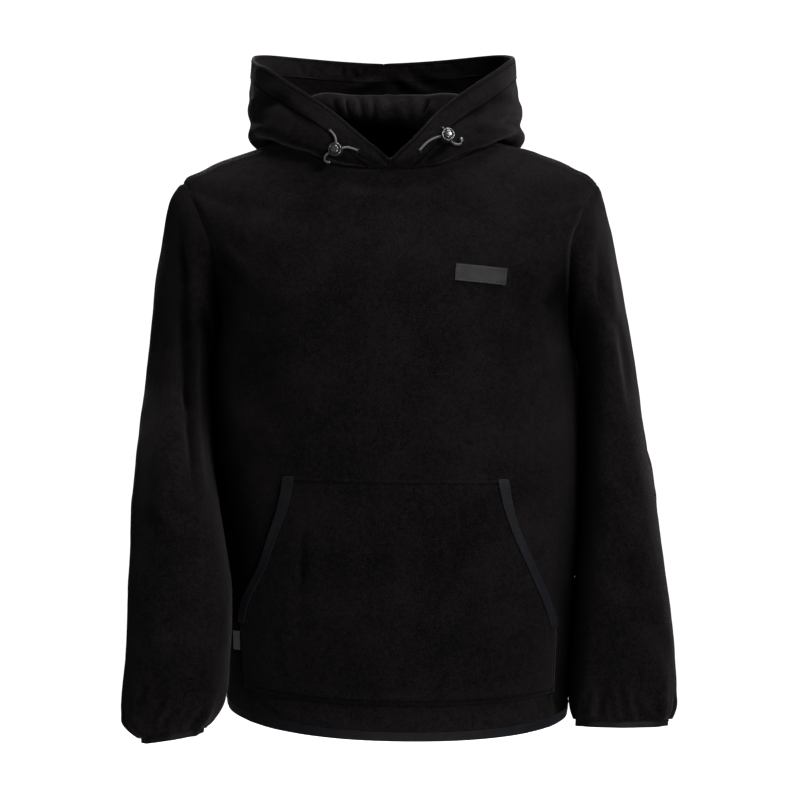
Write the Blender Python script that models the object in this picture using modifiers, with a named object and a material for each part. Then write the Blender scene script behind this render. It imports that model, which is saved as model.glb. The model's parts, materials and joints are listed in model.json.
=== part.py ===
"""Pullover hoodie in fleece, filled out and hollow as when it is worn.

Metres, +Z up.  The garment faces -Y and the wearer's left is +X.  The origin is
the middle of the base of the neck.  Every piece of cloth starts as a grid of
points down the middle of the wall, worked out from the tables of sections
below, and becomes two skins and the edges between them.
"""
import math

import bmesh
import bpy
import numpy as np
from mathutils import Vector
from mathutils.bvhtree import BVHTree

OBJECT_NAME = "pullover_hoodie"

# Cloth and trim
WALL = 0.0025
SEAM_GAP = 0.0003
SETTLE_REACH = 0.014
SETTLE_COLUMNS = 5
CASING_WIDTH = 0.026
CASING_EXTRA = 0.0016
TAPE_WIDTH = 0.011
TAPE_WALL = 0.0036
FLAT_TAPE_WALL = 0.0016
TAPE_TURN = 3.8
PATCH_SIZE = (0.0616, 0.0205)
PATCH_PLACE = (0.1025, -0.1358)
PATCH_TILT = -5.4
PATCH_WALL = 0.0013
LABEL_SIZE = (0.008, 0.023)
LABEL_PLACE = (-0.1905, -0.576)
LABEL_WALL = 0.0012

# How the body's grid is shared out, for one half
POCKET_COLUMNS = 6
SIDE_COLUMNS = 3
BACK_COLUMNS = 10
BODY_BOX = 0.92

# Body sections, hem to neck.  "strips" is the number of mesh strips below the
# section.  The side point lies on the side seam, armhole or shoulder seam, the
# middle point on the centre line, and "turn" is how far round the section goes
# in degrees.  "mouth" is the turn at which the pocket's edge lies, and "lift"
# raises the back over the top of the shoulder.
SECTION = ("strips", "side_x", "side_y", "side_z", "middle_y", "middle_z", "turn", "mouth", "lift")
FRONT = (
    (0, 0.2060, 0.000, -0.6490, -0.139, -0.6800, 90, 61.5, 0),
    (1, 0.2090, 0.000, -0.6200, -0.142, -0.6487, 90, 61.7, 0),
    (3, 0.2135, 0.000, -0.5480, -0.148, -0.5620, 90, 61.7, 0),
    (5, 0.2235, 0.000, -0.3740, -0.153, -0.3796, 90, 34.4, 0),
    (2, 0.2242, 0.000, -0.2980, -0.153, -0.3070, 88, 46.0, 0),
    (2, 0.2200, 0.000, -0.2300, -0.150, -0.2400, 86, 57.0, 0),
    (3, 0.2120, 0.000, -0.1860, -0.147, -0.1920, 80, 56.0, 0),
    (4, 0.2160, 0.000, -0.1250, -0.138, -0.1360, 69, 48.0, 0),
    (3, 0.2380, 0.000, -0.0640, -0.127, -0.0950, 66, 45.0, 0),
    (2, 0.2500, -0.030, -0.0235, -0.117, -0.0700, 72, 50.0, 0),
    (4, 0.1150, -0.025, 0.0360, -0.092, -0.0080, 84, 58.0, 0),
)
BACK = (
    (0, 0.2060, 0.000, -0.6490, 0.139, -0.6700, 90, 61.5, 0),
    (4, 0.2135, 0.000, -0.5480, 0.139, -0.5530, 90, 61.7, 0),
    (5, 0.2235, 0.000, -0.3740, 0.133, -0.3760, 90, 61.7, 0),
    (2, 0.2242, 0.000, -0.2980, 0.136, -0.2980, 88, 61.7, 0),
    (2, 0.2200, 0.000, -0.2300, 0.141, -0.2240, 86, 60.0, 0),
    (3, 0.2120, 0.000, -0.1860, 0.142, -0.1860, 80, 57.0, 0),
    (4, 0.2160, 0.000, -0.1200, 0.138, -0.1280, 69, 46.0, 0),
    (3, 0.2380, 0.000, -0.0460, 0.127, -0.0800, 68, 44.0, 0.002),
    (2, 0.2500, -0.030, -0.0235, 0.118, -0.0520, 82, 56.0, 0.010),
    (4, 0.1150, -0.025, 0.0360, 0.075, 0.0220, 86, 60.0, 0.002),
)
ARMPIT_ROW = 13
SHOULDER_ROW = 25
FRONT_SCOOP = 0.058
BACK_SCOOP = 0.089
HANG = 0.016
HANG_TOP = -0.220
HANG_FULL = -0.420
POCKET_ROWS = (1, 9)
MOUTH_ROWS = (4, 9)

# Sleeve rings below the cap.  "inner" and "outer" are how far from the middle
# the two edges lie, "reach" is half of the depth, "tilt" drops the outer edge.
RING = ("strips", "z", "inner", "outer", "middle_y", "reach", "tilt", "gather")
LEFT_SLEEVE = (
    (0, -0.290, 0.2280, 0.2995, 0.022, 0.092, 0.000, 0),
    (3, -0.407, 0.2262, 0.3165, -0.012, 0.076, 0.000, 0),
    (3, -0.5285, 0.2150, 0.3285, -0.038, 0.057, 0.000, 0),
    (3, -0.589, 0.2115, 0.3340, -0.046, 0.048, 0.000, 0.0006),
    (3, -0.632, 0.2075, 0.3340, -0.052, 0.042, 0.000, 0.0018),
    (2, -0.656, 0.2100, 0.3325, -0.053, 0.038, 0.000, 0.0022),
    (1, -0.6685, 0.2160, 0.3200, -0.053, 0.036, 0.000, 0.0014),
)
RIGHT_SLEEVE = (
    (0, -0.290, 0.2275, 0.3040, 0.000, 0.090, 0.000, 0),
    (1, -0.330, 0.2272, 0.3090, -0.034, 0.083, 0.000, 0),
    (2, -0.407, 0.2140, 0.3175, -0.082, 0.064, 0.000, 0),
    (3, -0.5285, 0.2000, 0.3225, -0.108, 0.047, 0.000, 0),
    (3, -0.600, 0.2045, 0.3260, -0.112, 0.043, 0.000, 0.0006),
    (3, -0.648, 0.2120, 0.3300, -0.112, 0.041, 0.003, 0.0018),
    (2, -0.667, 0.2230, 0.3275, -0.111, 0.039, 0.006, 0.0022),
    (1, -0.6775, 0.2370, 0.3065, -0.110, 0.036, 0.006, 0.0014),
)
SLEEVE_POWER = 2.3
CAP_STRIPS = 8
CAP_BULGE = {"left": 0.45, "right": 0.95}
CAP_DRAW = {"left": 0.12, "right": 0.19}
CAP_ARRIVAL = 0.42
ARMPIT_BULGE = 1.0
ARMPIT_DRAW = 0.28
CUFF_GATHERS = 8
CUFF_AXIS_ROW = -6

# Lines round the hood from the neck seam to the face edge.  "out" is the plan
# distance from the middle of the neck and "up" the height, at five directions
# from straight ahead (0) to straight behind (180 degrees).
HOOD_DIRECTIONS = (0, 30, 60, 90, 135, 180)
HOOD_LINES = (
    ("ridge out", 0.0930, 0.1020, 0.1180, 0.1205, 0.1020, 0.0900),
    ("ridge up", -0.0060, -0.0010, 0.0235, 0.0600, 0.0980, 0.0985),
    ("fall out", 0.0940, 0.1060, 0.1265, 0.1375, 0.1360, 0.1180),
    ("fall up", -0.0040, 0.0020, 0.0230, 0.0450, 0.0360, 0.0260),
    ("bottom out", 0.0950, 0.1078, 0.1308, 0.1510, 0.1600, 0.1560),
    ("bottom up", -0.0020, 0.0055, 0.0208, 0.0385, -0.0340, -0.0980),
    ("bulge out", 0.0960, 0.1115, 0.1400, 0.1635, 0.1950, 0.1980),
    ("bulge up", 0.0000, 0.0115, 0.0320, 0.0500, 0.0150, -0.0250),
    ("crease out", 0.0970, 0.1075, 0.1315, 0.1580, 0.1920, 0.1930),
    ("crease up", 0.0020, 0.0310, 0.0640, 0.0800, 0.0850, 0.0650),
    ("edge out", 0.0980, 0.0985, 0.1220, 0.1540, 0.1840, 0.1650),
    ("edge up", 0.0040, 0.0500, 0.0945, 0.1305, 0.1515, 0.1450),
)
HOOD_ROWS = (0, 0.40, 0.75, 0.92, 1.08, 1.30, 1.75, 2.35, 2.80, 3.20, 3.60, 4.05, 4.50, 5.00)
CASING_STRIPS = 2
CASING_STEP = 0.0022
HOOD_LEAN = -0.0065
RIDGE_GATHERS = 7
RIDGE_GATHER_DEPTH = 0.0022

# Folds pressed into a piece: both ends (across, up), width and depth.  Across is
# metres from the middle on the body and a share of the way round on a sleeve.
FRONT_FOLDS = (
    (0.196, -0.235, 0.120, -0.330, 0.020, 0.0070),
    (-0.196, -0.240, -0.110, -0.345, 0.020, 0.0070),
    (0.205, -0.150, 0.130, -0.190, 0.018, 0.0045),
    (-0.205, -0.155, -0.125, -0.200, 0.018, 0.0045),
    (0.050, -0.450, 0.062, -0.640, 0.022, 0.0040),
    (-0.088, -0.440, -0.100, -0.620, 0.020, 0.0055),
)
BACK_FOLDS = (
    (0.196, -0.240, 0.100, -0.350, 0.022, 0.0080),
    (-0.196, -0.235, -0.105, -0.340, 0.022, 0.0080),
    (0.120, -0.420, 0.090, -0.620, 0.024, 0.0070),
    (-0.060, -0.430, -0.085, -0.630, 0.024, 0.0070),
)
LEFT_SLEEVE_FOLDS = (
    (0.30, -0.110, 0.36, -0.330, 0.014, 0.0050),
    (0.16, -0.330, 0.34, -0.420, 0.014, 0.0040),
    (0.72, -0.330, 0.52, -0.450, 0.016, 0.0055),
    (0.30, -0.520, 0.42, -0.620, 0.012, 0.0035),
)
RIGHT_SLEEVE_FOLDS = (
    (0.36, -0.075, 0.34, -0.490, 0.013, 0.0060),
    (0.44, -0.420, 0.30, -0.480, 0.013, 0.0035),
    (0.74, -0.300, 0.56, -0.440, 0.016, 0.0055),
    (0.22, -0.560, 0.34, -0.630, 0.012, 0.0035),
)
SLEEVE_GIRTH = 0.40

# The garment leans a little to its right as it goes up.
LEAN = -0.018
LEAN_LEVEL = -0.330

# Drawcords.  Each comes out of the upper eyelet, goes through its lock and back
# into the lower eyelet, and its tail hangs from the lock.  The lock's base lies
# on the hood and its flange faces outwards, round the button.  Profiles are
# (radius, height) from the middle of the top to the middle of the bottom.
CORD_DIAMETER = 0.0026
CORD_STEP = 0.0050
LOCK_RADIUS = 0.0084
LOCK_HEIGHT = 0.0112
BUTTON_RADIUS = 0.0055
BUTTON_HEIGHT = 0.0137
END_RADIUS = 0.0030
END_LENGTH = 0.0060
LOCK_PROFILE = (
    (0, LOCK_HEIGHT - 0.0034),
    (BUTTON_RADIUS + SEAM_GAP, LOCK_HEIGHT - 0.0034),
    (BUTTON_RADIUS + SEAM_GAP, LOCK_HEIGHT - 0.0006),
    (LOCK_RADIUS - 0.0018, LOCK_HEIGHT),
    (LOCK_RADIUS - 0.0005, LOCK_HEIGHT - 0.0004),
    (LOCK_RADIUS, LOCK_HEIGHT - 0.0014),
    (LOCK_RADIUS - 0.0003, LOCK_HEIGHT - 0.0024),
    (LOCK_RADIUS - 0.0016, LOCK_HEIGHT - 0.0034),
    (0.0065, 0.0062),
    (0.0065, 0.0015),
    (0.0055, 0),
    (0, 0),
)
BUTTON_PROFILE = (
    (0, BUTTON_HEIGHT),
    (BUTTON_RADIUS * 0.55, BUTTON_HEIGHT - 0.0006),
    (BUTTON_RADIUS * 0.88, BUTTON_HEIGHT - 0.0020),
    (BUTTON_RADIUS, BUTTON_HEIGHT - 0.0036),
    (BUTTON_RADIUS, LOCK_HEIGHT - 0.0034 + SEAM_GAP),
    (0, LOCK_HEIGHT - 0.0034 + SEAM_GAP),
)
END_PROFILE = (
    (0, END_LENGTH),
    (END_RADIUS * 0.60, END_LENGTH - 0.0003),
    (END_RADIUS * 0.93, END_LENGTH - 0.0013),
    (END_RADIUS, END_LENGTH / 2),
    (END_RADIUS * 0.93, 0.0013),
    (END_RADIUS * 0.60, 0.0003),
    (0, 0),
)
DRAWCORDS = {
    "right": {
        "upper": (
            (-0.0784, -0.0930, 0.0389),
            (-0.0740, -0.0955, 0.0340),
            (-0.0712, -0.0983, 0.0282),
            (-0.0708, -0.1007, 0.0220),
        ),
        "lower": (
            (-0.0641, -0.1024, 0.0162),
            (-0.0600, -0.1022, 0.0177),
            (-0.0550, -0.1012, 0.0174),
            (-0.0495, -0.1014, 0.0158),
            (-0.0449, -0.1022, 0.0137),
        ),
        "tail": (
            (-0.0775, -0.0995, 0.0122),
            (-0.0822, -0.0979, 0.0094),
            (-0.0846, -0.0968, 0.0055),
            (-0.0840, -0.0963, 0.0018),
            (-0.0813, -0.0959, 0.0004),
        ),
        "lock": ((-0.0700, -0.0970, 0.0147), (-0.22, -0.975, 0.03)),
        "end": ((-0.0801, -0.0957, 0.0006), (0.97, 0.06, 0.22)),
    },
    "left": {
        "upper": (
            (0.0573, -0.0914, 0.0418),
            (0.0582, -0.0932, 0.0415),
            (0.0597, -0.0948, 0.0385),
        ),
        "lower": (
            (0.0557, -0.0972, 0.0314),
            (0.0508, -0.0976, 0.0302),
            (0.0453, -0.0984, 0.0280),
            (0.0395, -0.0998, 0.0243),
            (0.0354, -0.1009, 0.0207),
            (0.0295, -0.1022, 0.0140),
        ),
        "tail": (
            (0.0673, -0.0968, 0.0262),
            (0.0712, -0.0962, 0.0226),
            (0.0762, -0.0947, 0.0216),
            (0.0794, -0.0937, 0.0234),
            (0.0798, -0.0930, 0.0264),
        ),
        "lock": ((0.0622, -0.0922, 0.0308), (0.17, -0.95, 0.25)),
        "end": ((0.0797, -0.0928, 0.0272), (-0.25, 0.12, 0.93)),
    },
}
LOCK_SIDES = 20
END_SIDES = 16

COLOURS = {
    "fleece": ((0.010, 0.009, 0.009), 0.95),
    "tape": ((0.012, 0.013, 0.017), 0.55),
    "rubber": ((0.045, 0.044, 0.046), 0.6),
    "cord": ((0.030, 0.030, 0.032), 0.45),
    "plastic": ((0.060, 0.060, 0.064), 0.3),
}


# ------------------------------------------------------------------ tables
def smooth(knots, values, at):
    """Cubic curve through the values that doesn't overshoot them."""
    knots = np.asarray(knots, float)
    values = np.asarray(values, float)
    at = np.asarray(at, float)
    step = np.diff(knots)
    rise = np.diff(values) / step
    slope = np.zeros(len(values))
    product = rise[:-1] * rise[1:]
    total = rise[:-1] + rise[1:]
    same_way = product > 0
    slope[1:-1][same_way] = 2 * product[same_way] / total[same_way]
    slope[0] = rise[0]
    slope[-1] = rise[-1]
    i = np.clip(np.searchsorted(knots, at, side="right") - 1, 0, len(step) - 1)
    t = (at - knots[i]) / step[i]
    ends = values[i] * (1 + 2 * t) * (1 - t) ** 2 + values[i + 1] * (3 - 2 * t) * t * t
    return ends + step[i] * (slope[i] * t * (1 - t) ** 2 - slope[i + 1] * t * t * (1 - t))


def by_row(table, names):
    """Each named column of a table of sections, at every row of the mesh."""
    knots = np.cumsum([section[0] for section in table])
    rows = np.arange(knots[-1] + 1)
    return {
        name: smooth(knots, [section[i] for section in table], rows)
        for i, name in enumerate(names)
    }


# -------------------------------------------------------------------- skins
def unit(vectors):
    """Vectors along the last axis, made one long."""
    length = np.linalg.norm(vectors, axis=-1, keepdims=True)
    return vectors / np.maximum(length, 1e-12)


class Skin:
    """A grid of points down the middle of a wall of cloth, and its normals.

    Rows run along the first axis.  The columns of a closed skin go all round.
    """

    def __init__(self, points, closed=False, facing=1):
        self.points = points
        self.closed = closed
        self.facing = facing
        self.set_normals()

    def set_normals(self):
        along = np.gradient(self.points, axis=0)
        if self.closed:
            across = np.roll(self.points, -1, axis=1) - np.roll(self.points, 1, axis=1)
        else:
            across = np.gradient(self.points, axis=1)
        self.normals = self.facing * unit(np.cross(across, along))

    def borders(self):
        """Rows and columns of each border, with those of the line next to it."""
        rows, columns = self.points.shape[:2]
        every_row = np.arange(rows)
        every_column = np.arange(columns)
        lines = []
        for edge, inside in ((0, 1), (rows - 1, rows - 2)):
            edge_rows = np.full(columns, edge)
            inside_rows = np.full(columns, inside)
            lines.append((edge_rows, every_column, inside_rows, every_column, self.closed))
        if not self.closed:
            for edge, inside in ((0, 1), (columns - 1, columns - 2)):
                edge_columns = np.full(rows, edge)
                inside_columns = np.full(rows, inside)
                lines.append((every_row, edge_columns, every_row, inside_columns, False))
        return lines


def share_normals(skins):
    """Give pieces that meet at a seam one normal there, so that their edges lie side by side."""
    sums = {}
    for skin in skins:
        seen = set()
        for rows, columns, _, _, _ in skin.borders():
            for row, column in zip(rows, columns):
                if (row, column) in seen:
                    continue
                seen.add((row, column))
                key = tuple(np.round(skin.points[row, column], 6) + 0.0)
                sums[key] = sums.get(key, 0) + skin.normals[row, column]
    for skin in skins:
        for rows, columns, _, _, _ in skin.borders():
            for row, column in zip(rows, columns):
                key = tuple(np.round(skin.points[row, column], 6) + 0.0)
                skin.normals[row, column] = unit(sums[key])


def settle_normals(skin):
    """Let the normals change evenly away from a seam, by the first columns, where rows are close."""
    away = np.linalg.norm(skin.points - skin.points[0], axis=-1, keepdims=True)
    column = np.arange(skin.points.shape[1])[None, :, None]
    reach = SETTLE_REACH * np.maximum(1 - column / SETTLE_COLUMNS, 0.05)
    share = ease(away / reach)
    skin.normals = unit(skin.normals[0] * (1 - share) + skin.normals * share)


def trim(skin):
    """Draw each border in by half of the seam gap, within the cloth."""
    moves = np.zeros_like(skin.points)
    for rows, columns, inside_rows, inside_columns, ring in skin.borders():
        line = skin.points[rows, columns]
        if ring:
            tangent = np.roll(line, -1, axis=0) - np.roll(line, 1, axis=0)
        else:
            tangent = np.gradient(line, axis=0)
        aside = unit(np.cross(skin.normals[rows, columns], tangent))
        inward = skin.points[inside_rows, inside_columns] - line
        aside *= np.sign(np.sum(aside * inward, axis=-1, keepdims=True))
        moves[rows, columns] += aside * SEAM_GAP / 2
    skin.points = skin.points + moves


def ease(share):
    """Smooth step from 0 to 1."""
    share = np.clip(share, 0, 1)
    return share * share * (3 - 2 * share)


def press_folds(skin, across, up, folds, hold):
    """Press soft troughs into a skin; "hold" is 0 where the cloth is held by a seam."""
    depth = np.zeros(across.shape)
    for from_across, from_up, to_across, to_up, width, fold_depth in folds:
        run = np.array((to_across - from_across, to_up - from_up))
        length = np.hypot(*run)
        dx = across - from_across
        dz = up - from_up
        share = (dx * run[0] + dz * run[1]) / length**2
        off = (dx * run[1] - dz * run[0]) / length
        fade = ease(1.6 - np.abs(2 * share - 1) * 1.6)
        depth += fold_depth * fade * np.exp(-((off / width) ** 2))
    skin.points = skin.points - skin.normals * (depth * hold)[..., None]
    skin.set_normals()


# ------------------------------------------------------------------- pieces
def material(name):
    """The plain finish of one kind of piece."""
    finish = bpy.data.materials.get(name)
    if finish is None:
        colour, roughness = COLOURS[name]
        finish = bpy.data.materials.new(name)
        finish.use_nodes = True
        shader = finish.node_tree.nodes["Principled BSDF"]
        shader.inputs["Base Color"].default_value = (*colour, 1)
        shader.inputs["Roughness"].default_value = roughness
        shader.inputs["Metallic"].default_value = 0
    return finish


def add_object(name, data, finish):
    """Put a named object of its own material in the hoodie's collection."""
    data.materials.clear()
    own = material(finish).copy()
    own.name = f"{finish}_{name}"
    data.materials.append(own)
    piece = bpy.data.objects.new(name, data)
    bpy.data.collections[OBJECT_NAME].objects.link(piece)
    return piece


def add_rim(mesh, a, b, c, d):
    """Close the edge a to b of an outer face with d to c of the inner one, split alike on a seam."""
    if (a.co.z, a.co.y) > (b.co.z, b.co.y):
        a, b, c, d = b, a, d, c
    mesh.faces.new((a, b, c))
    mesh.faces.new((a, c, d))


def cloth(name, skin, finish, wall=WALL, raised=0.0):
    """A closed wall of cloth on a skin: its two faces and the edges between them."""
    rows, columns = skin.points.shape[:2]
    wall = np.broadcast_to(wall, (rows, columns))[..., None]
    middle = skin.points + skin.normals * raised
    layers = (middle + skin.normals * wall / 2, middle - skin.normals * wall / 2)
    mesh = bmesh.new()
    outer, inner = (
        [[mesh.verts.new(point) for point in row] for row in layer.tolist()] for layer in layers
    )
    round_columns = columns if skin.closed else columns - 1
    for i in range(rows - 1):
        for j in range(round_columns):
            k = (j + 1) % columns
            mesh.faces.new((outer[i][j], outer[i][k], outer[i + 1][k], outer[i + 1][j]))
            mesh.faces.new((inner[i][j], inner[i + 1][j], inner[i + 1][k], inner[i][k]))
    for row in (0, rows - 1):
        for j in range(round_columns):
            k = (j + 1) % columns
            add_rim(mesh, outer[row][j], outer[row][k], inner[row][k], inner[row][j])
    if not skin.closed:
        for column in (0, columns - 1):
            for i in range(rows - 1):
                ends = (outer[i][column], outer[i + 1][column])
                add_rim(mesh, *ends, inner[i + 1][column], inner[i][column])
    bmesh.ops.recalc_face_normals(mesh, faces=mesh.faces)
    data = bpy.data.meshes.new(name)
    mesh.to_mesh(data)
    mesh.free()
    data.shade_smooth()
    data.set_sharp_from_angle(angle=math.radians(60))
    return add_object(name, data, finish)


# --------------------------------------------------------------------- body
def set_armhole(section, scoop):
    """Take the side points from the armpit to the shoulder round in an even curve."""
    rows = slice(ARMPIT_ROW, SHOULDER_ROW + 1)
    angle = np.linspace(0, np.pi, SHOULDER_ROW - ARMPIT_ROW + 1)
    share = (1 - np.cos(angle)) / 4 + angle / np.pi / 2
    for name in ("side_y", "side_z"):
        low, high = section[name][[ARMPIT_ROW, SHOULDER_ROW]]
        section[name][rows] = low + (high - low) * share
    section["side_y"][rows] += scoop * np.sin(angle)


def front_angles(section):
    """How far round each column of half of the front lies, so that some run down the pocket."""
    inner = np.linspace(0, 1, POCKET_COLUMNS + 1) * (section["mouth"] - TAPE_TURN)
    beyond = section["turn"] - section["mouth"]
    outer = section["mouth"] + np.linspace(0, 1, SIDE_COLUMNS + 1) * beyond
    return np.concatenate((inner, outer), axis=1)


def back_angles(section):
    """How far round each column of half of the back lies."""
    return np.linspace(0, 1, BACK_COLUMNS + 1) * section["turn"]


def body_sections(table, other=None):
    """A panel's sections by row, its side seam and shoulder shared with the other panel."""
    section = by_row(table, SECTION)
    if other:
        for name in ("side_x", "side_y", "side_z"):
            section[name][: ARMPIT_ROW + 1] = other[name][: ARMPIT_ROW + 1]
            section[name][SHOULDER_ROW:] = other[name][SHOULDER_ROW:]
    set_armhole(section, BACK_SCOOP if other else -FRONT_SCOOP)
    return section


def body_skin(sections, facing):
    """One body panel, hem to neck, from one side seam round to the other."""
    section = {name: values[:, None] for name, values in sections.items()}
    half = np.radians(front_angles(section) if facing > 0 else back_angles(section))
    angle = np.concatenate((half[:, :0:-1], half), axis=1)
    side = np.sign(np.arange(angle.shape[1]) - angle.shape[1] // 2)
    turn = np.radians(section["turn"])
    across = np.sin(angle) ** BODY_BOX / np.sin(turn) ** BODY_BOX
    level = np.clip(np.cos(turn), 0, 1) ** BODY_BOX
    near = (np.clip(np.cos(angle), 0, 1) ** BODY_BOX - level) / (1 - level)
    x = side * section["side_x"] * across
    y = section["side_y"] + (section["middle_y"] - section["side_y"]) * near
    z = section["side_z"] + (section["middle_z"] - section["side_z"]) * near
    z = z + section["lift"] * 4 * np.sqrt(near) * (1 - np.sqrt(near))
    z = z - HANG * x * ease((HANG_TOP - z) / (HANG_TOP - HANG_FULL))
    points = np.stack(np.broadcast_arrays(x, y, z), axis=-1)
    if facing < 0:
        points = points[:, ::-1]
    return Skin(points)


def body_hold(skin):
    """1 in the open cloth of a panel, 0 at its side seams, armholes and neck."""
    rows, columns = skin.points.shape[:2]
    column = np.arange(columns)[None, :]
    row = np.arange(rows)[:, None]
    from_side = np.minimum(column, columns - 1 - column)
    return ease(from_side / 3) * ease((rows - 1 - row) / 5)


def pocket_part(front, rows, first, last, raised):
    """A piece of the front's own grid, moved out from it."""
    bottom, top = rows
    part = Skin(front.points[bottom : top + 1, first : last + 1].copy())
    part.normals = front.normals[bottom : top + 1, first : last + 1].copy()
    trim(part)
    part.points = part.points + part.normals * raised
    return part


# ------------------------------------------------------------------ sleeves
def armhole(front, back, side):
    """The loop of points round an armhole, from the armpit by the front to the top and back."""
    rows = slice(ARMPIT_ROW, SHOULDER_ROW + 1)
    if side == "left":
        forward, rearward = front.points[rows, -1], back.points[rows, 0]
    else:
        forward, rearward = front.points[rows, 0], back.points[rows, -1]
    return np.concatenate((forward, rearward[-2:0:-1]))


def rounded(value):
    """A cosine or sine squared off, for a section between an oval and a box."""
    return np.sign(value) * np.abs(value) ** (2 / SLEEVE_POWER)


def sleeve_skin(loop, table, side, folds):
    """A sleeve from its armhole, over the cap and down to the cuff."""
    sign = 1 if side == "left" else -1
    ring = {name: values[:, None] for name, values in by_row(table, RING).items()}
    count = len(loop)
    angle = 2 * np.pi * np.arange(count)[None, :] / count
    inward = rounded(np.cos(angle))
    forward = rounded(np.sin(angle))
    middle_x = (ring["inner"] + ring["outer"]) / 2
    half_x = (ring["outer"] - ring["inner"]) / 2
    wave = ring["gather"] * np.cos(CUFF_GATHERS * angle)
    x = sign * (middle_x - (half_x + wave) * inward)
    y = ring["middle_y"] - (ring["reach"] + wave) * forward
    z = ring["z"] + ring["tilt"] * inward
    tube = np.stack(np.broadcast_arrays(x, y, z), axis=-1)
    first = tube[0]
    span = np.linalg.norm(first - loop, axis=-1, keepdims=True)
    outward = np.array((sign, 0, 0))
    bulge = CAP_BULGE[side] + (ARMPIT_BULGE - CAP_BULGE[side]) * (1 + inward.T) / 2
    leave = unit(outward * bulge + (first - loop) / span * (1 - bulge))
    arrive = unit(tube[0] - tube[1])
    t = np.linspace(0, 1, CAP_STRIPS + 1)[:-1, None, None]
    draw = CAP_DRAW[side] + (ARMPIT_DRAW - CAP_DRAW[side]) * (1 + inward.T) / 2
    cap = loop * (1 - t) ** 3 + 3 * (loop + leave * span * draw) * t * (1 - t) ** 2
    cap = cap + 3 * (first + arrive * span * CAP_ARRIVAL) * t * t * (1 - t) + first * t**3
    points = np.concatenate((cap, tube))
    skin = Skin(points, closed=True, facing=-sign)
    share = np.arange(count)[None, :] / count
    row = np.arange(len(points))[:, None]
    hold = ease(row / 3) * np.ones_like(share)
    across = np.broadcast_to(share, hold.shape) * SLEEVE_GIRTH
    lines = [
        (start * SLEEVE_GIRTH, top, end * SLEEVE_GIRTH, foot, width, depth)
        for start, top, end, foot, width, depth in folds
    ]
    press_folds(skin, across, points[..., 2], lines, hold)
    return skin


# --------------------------------------------------------------------- hood
def hood_line(index, what, direction):
    """One line round the hood at the given directions."""
    values = HOOD_LINES[2 * index + (what == "up")][1:]
    return smooth(HOOD_DIRECTIONS, values, direction)


def through(points, places):
    """Smooth curve through points: where it is at the places, counted in points, and its run."""
    steps = np.sqrt(np.linalg.norm(np.diff(points, axis=0), axis=-1))
    knots = np.concatenate(((0,), np.cumsum(steps)))
    padded = np.vstack((2 * points[0] - points[1], points, 2 * points[-1] - points[-2]))
    padded_knots = np.concatenate(((-steps[0],), knots, (knots[-1] + steps[-1],)))
    slopes = (padded[2:] - padded[:-2]) / (padded_knots[2:] - padded_knots[:-2])[:, None]
    i = np.clip(np.floor(places).astype(int), 0, len(points) - 2)
    t = (places - i)[:, None]
    span = steps[i][:, None]
    curve = points[i] * (1 + 2 * t) * (1 - t) ** 2 + points[i + 1] * (3 - 2 * t) * t * t
    curve = curve + span * (slopes[i] * t * (1 - t) ** 2 - slopes[i + 1] * t * t * (1 - t))
    run = np.concatenate(((0,), np.cumsum(np.linalg.norm(np.diff(curve, axis=0), axis=-1))))
    return curve, run


def casing_rows(route):
    """Points down a route: its folds, then a step and the doubled casing of the face edge."""
    fine = np.linspace(0, len(route) - 1, 60 * (len(route) - 1) + 1)
    curve, run = through(route, fine)
    length = run[-1]
    casing = min(CASING_WIDTH, length * 0.55)
    step = min(CASING_STEP, casing * 0.2)
    below = np.interp(HOOD_ROWS, fine, run)
    below *= min(1, (length - casing - step) * 0.96 / below[-1])
    above = np.linspace(length - casing, length, CASING_STRIPS + 1)
    rows = np.concatenate((below, (length - casing - step,), above))
    return np.stack([np.interp(rows, run, curve[:, k]) for k in range(3)], axis=-1)


def neck_line(front, back, side):
    """Points of the neck seam from the middle of the front to the middle of the back."""
    top_front, top_back = front.points[-1], back.points[-1]
    half_front = len(top_front) // 2
    half_back = len(top_back) // 2
    if side == "left":
        return np.concatenate((top_front[half_front:], top_back[1 : half_back + 1]))
    return np.concatenate((top_front[half_front::-1], top_back[-2 : half_back - 1 : -1]))


def hood_skin(neck, side):
    """Half of the hood as it lies open behind the neck, neck seam to face edge."""
    sign = 1 if side == "left" else -1
    direction = np.degrees(np.arctan2(np.abs(neck[:, 0]), -neck[:, 1]))
    lines = len(HOOD_LINES) // 2
    columns = []
    for j, seam in enumerate(neck):
        heading = math.radians(direction[j])
        ahead = np.array((sign * math.sin(heading), -math.cos(heading), 0))
        route = [seam]
        for line in range(lines):
            out = hood_line(line, "out", direction[j])
            up = hood_line(line, "up", direction[j])
            lean = HOOD_LEAN * float(ease(direction[j] / 60)) * (line + 1) / lines
            if line == 0:
                wave = math.cos(heading * 2 * RIDGE_GATHERS)
                out += RIDGE_GATHER_DEPTH * wave * float(ease((direction[j] - 80) / 50))
            route.append(ahead * out + np.array((lean, 0, up)))
        columns.append(casing_rows(np.array(route)))
    return Skin(np.stack(columns, axis=1), facing=sign)


def hood_wall():
    """Wall thickness by row: doubled where the face edge is turned into a casing."""
    walls = np.full(len(HOOD_ROWS) + CASING_STRIPS + 2, WALL)
    walls[-CASING_STRIPS - 1 :] += CASING_EXTRA
    return walls[:, None]


# --------------------------------------------------------------------- trim
def binding_skin(edge, run, normals, closed=True):
    """Tape that carries on from an edge of the cloth: two rings, a tape's width apart."""
    near = edge + run * SEAM_GAP
    far = edge + run * (SEAM_GAP + TAPE_WIDTH)
    middle = (near + far) / 2
    skin = Skin(np.stack((near, middle, far)), closed=closed)
    skin.normals = np.stack((normals, normals, normals))
    return skin


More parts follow.
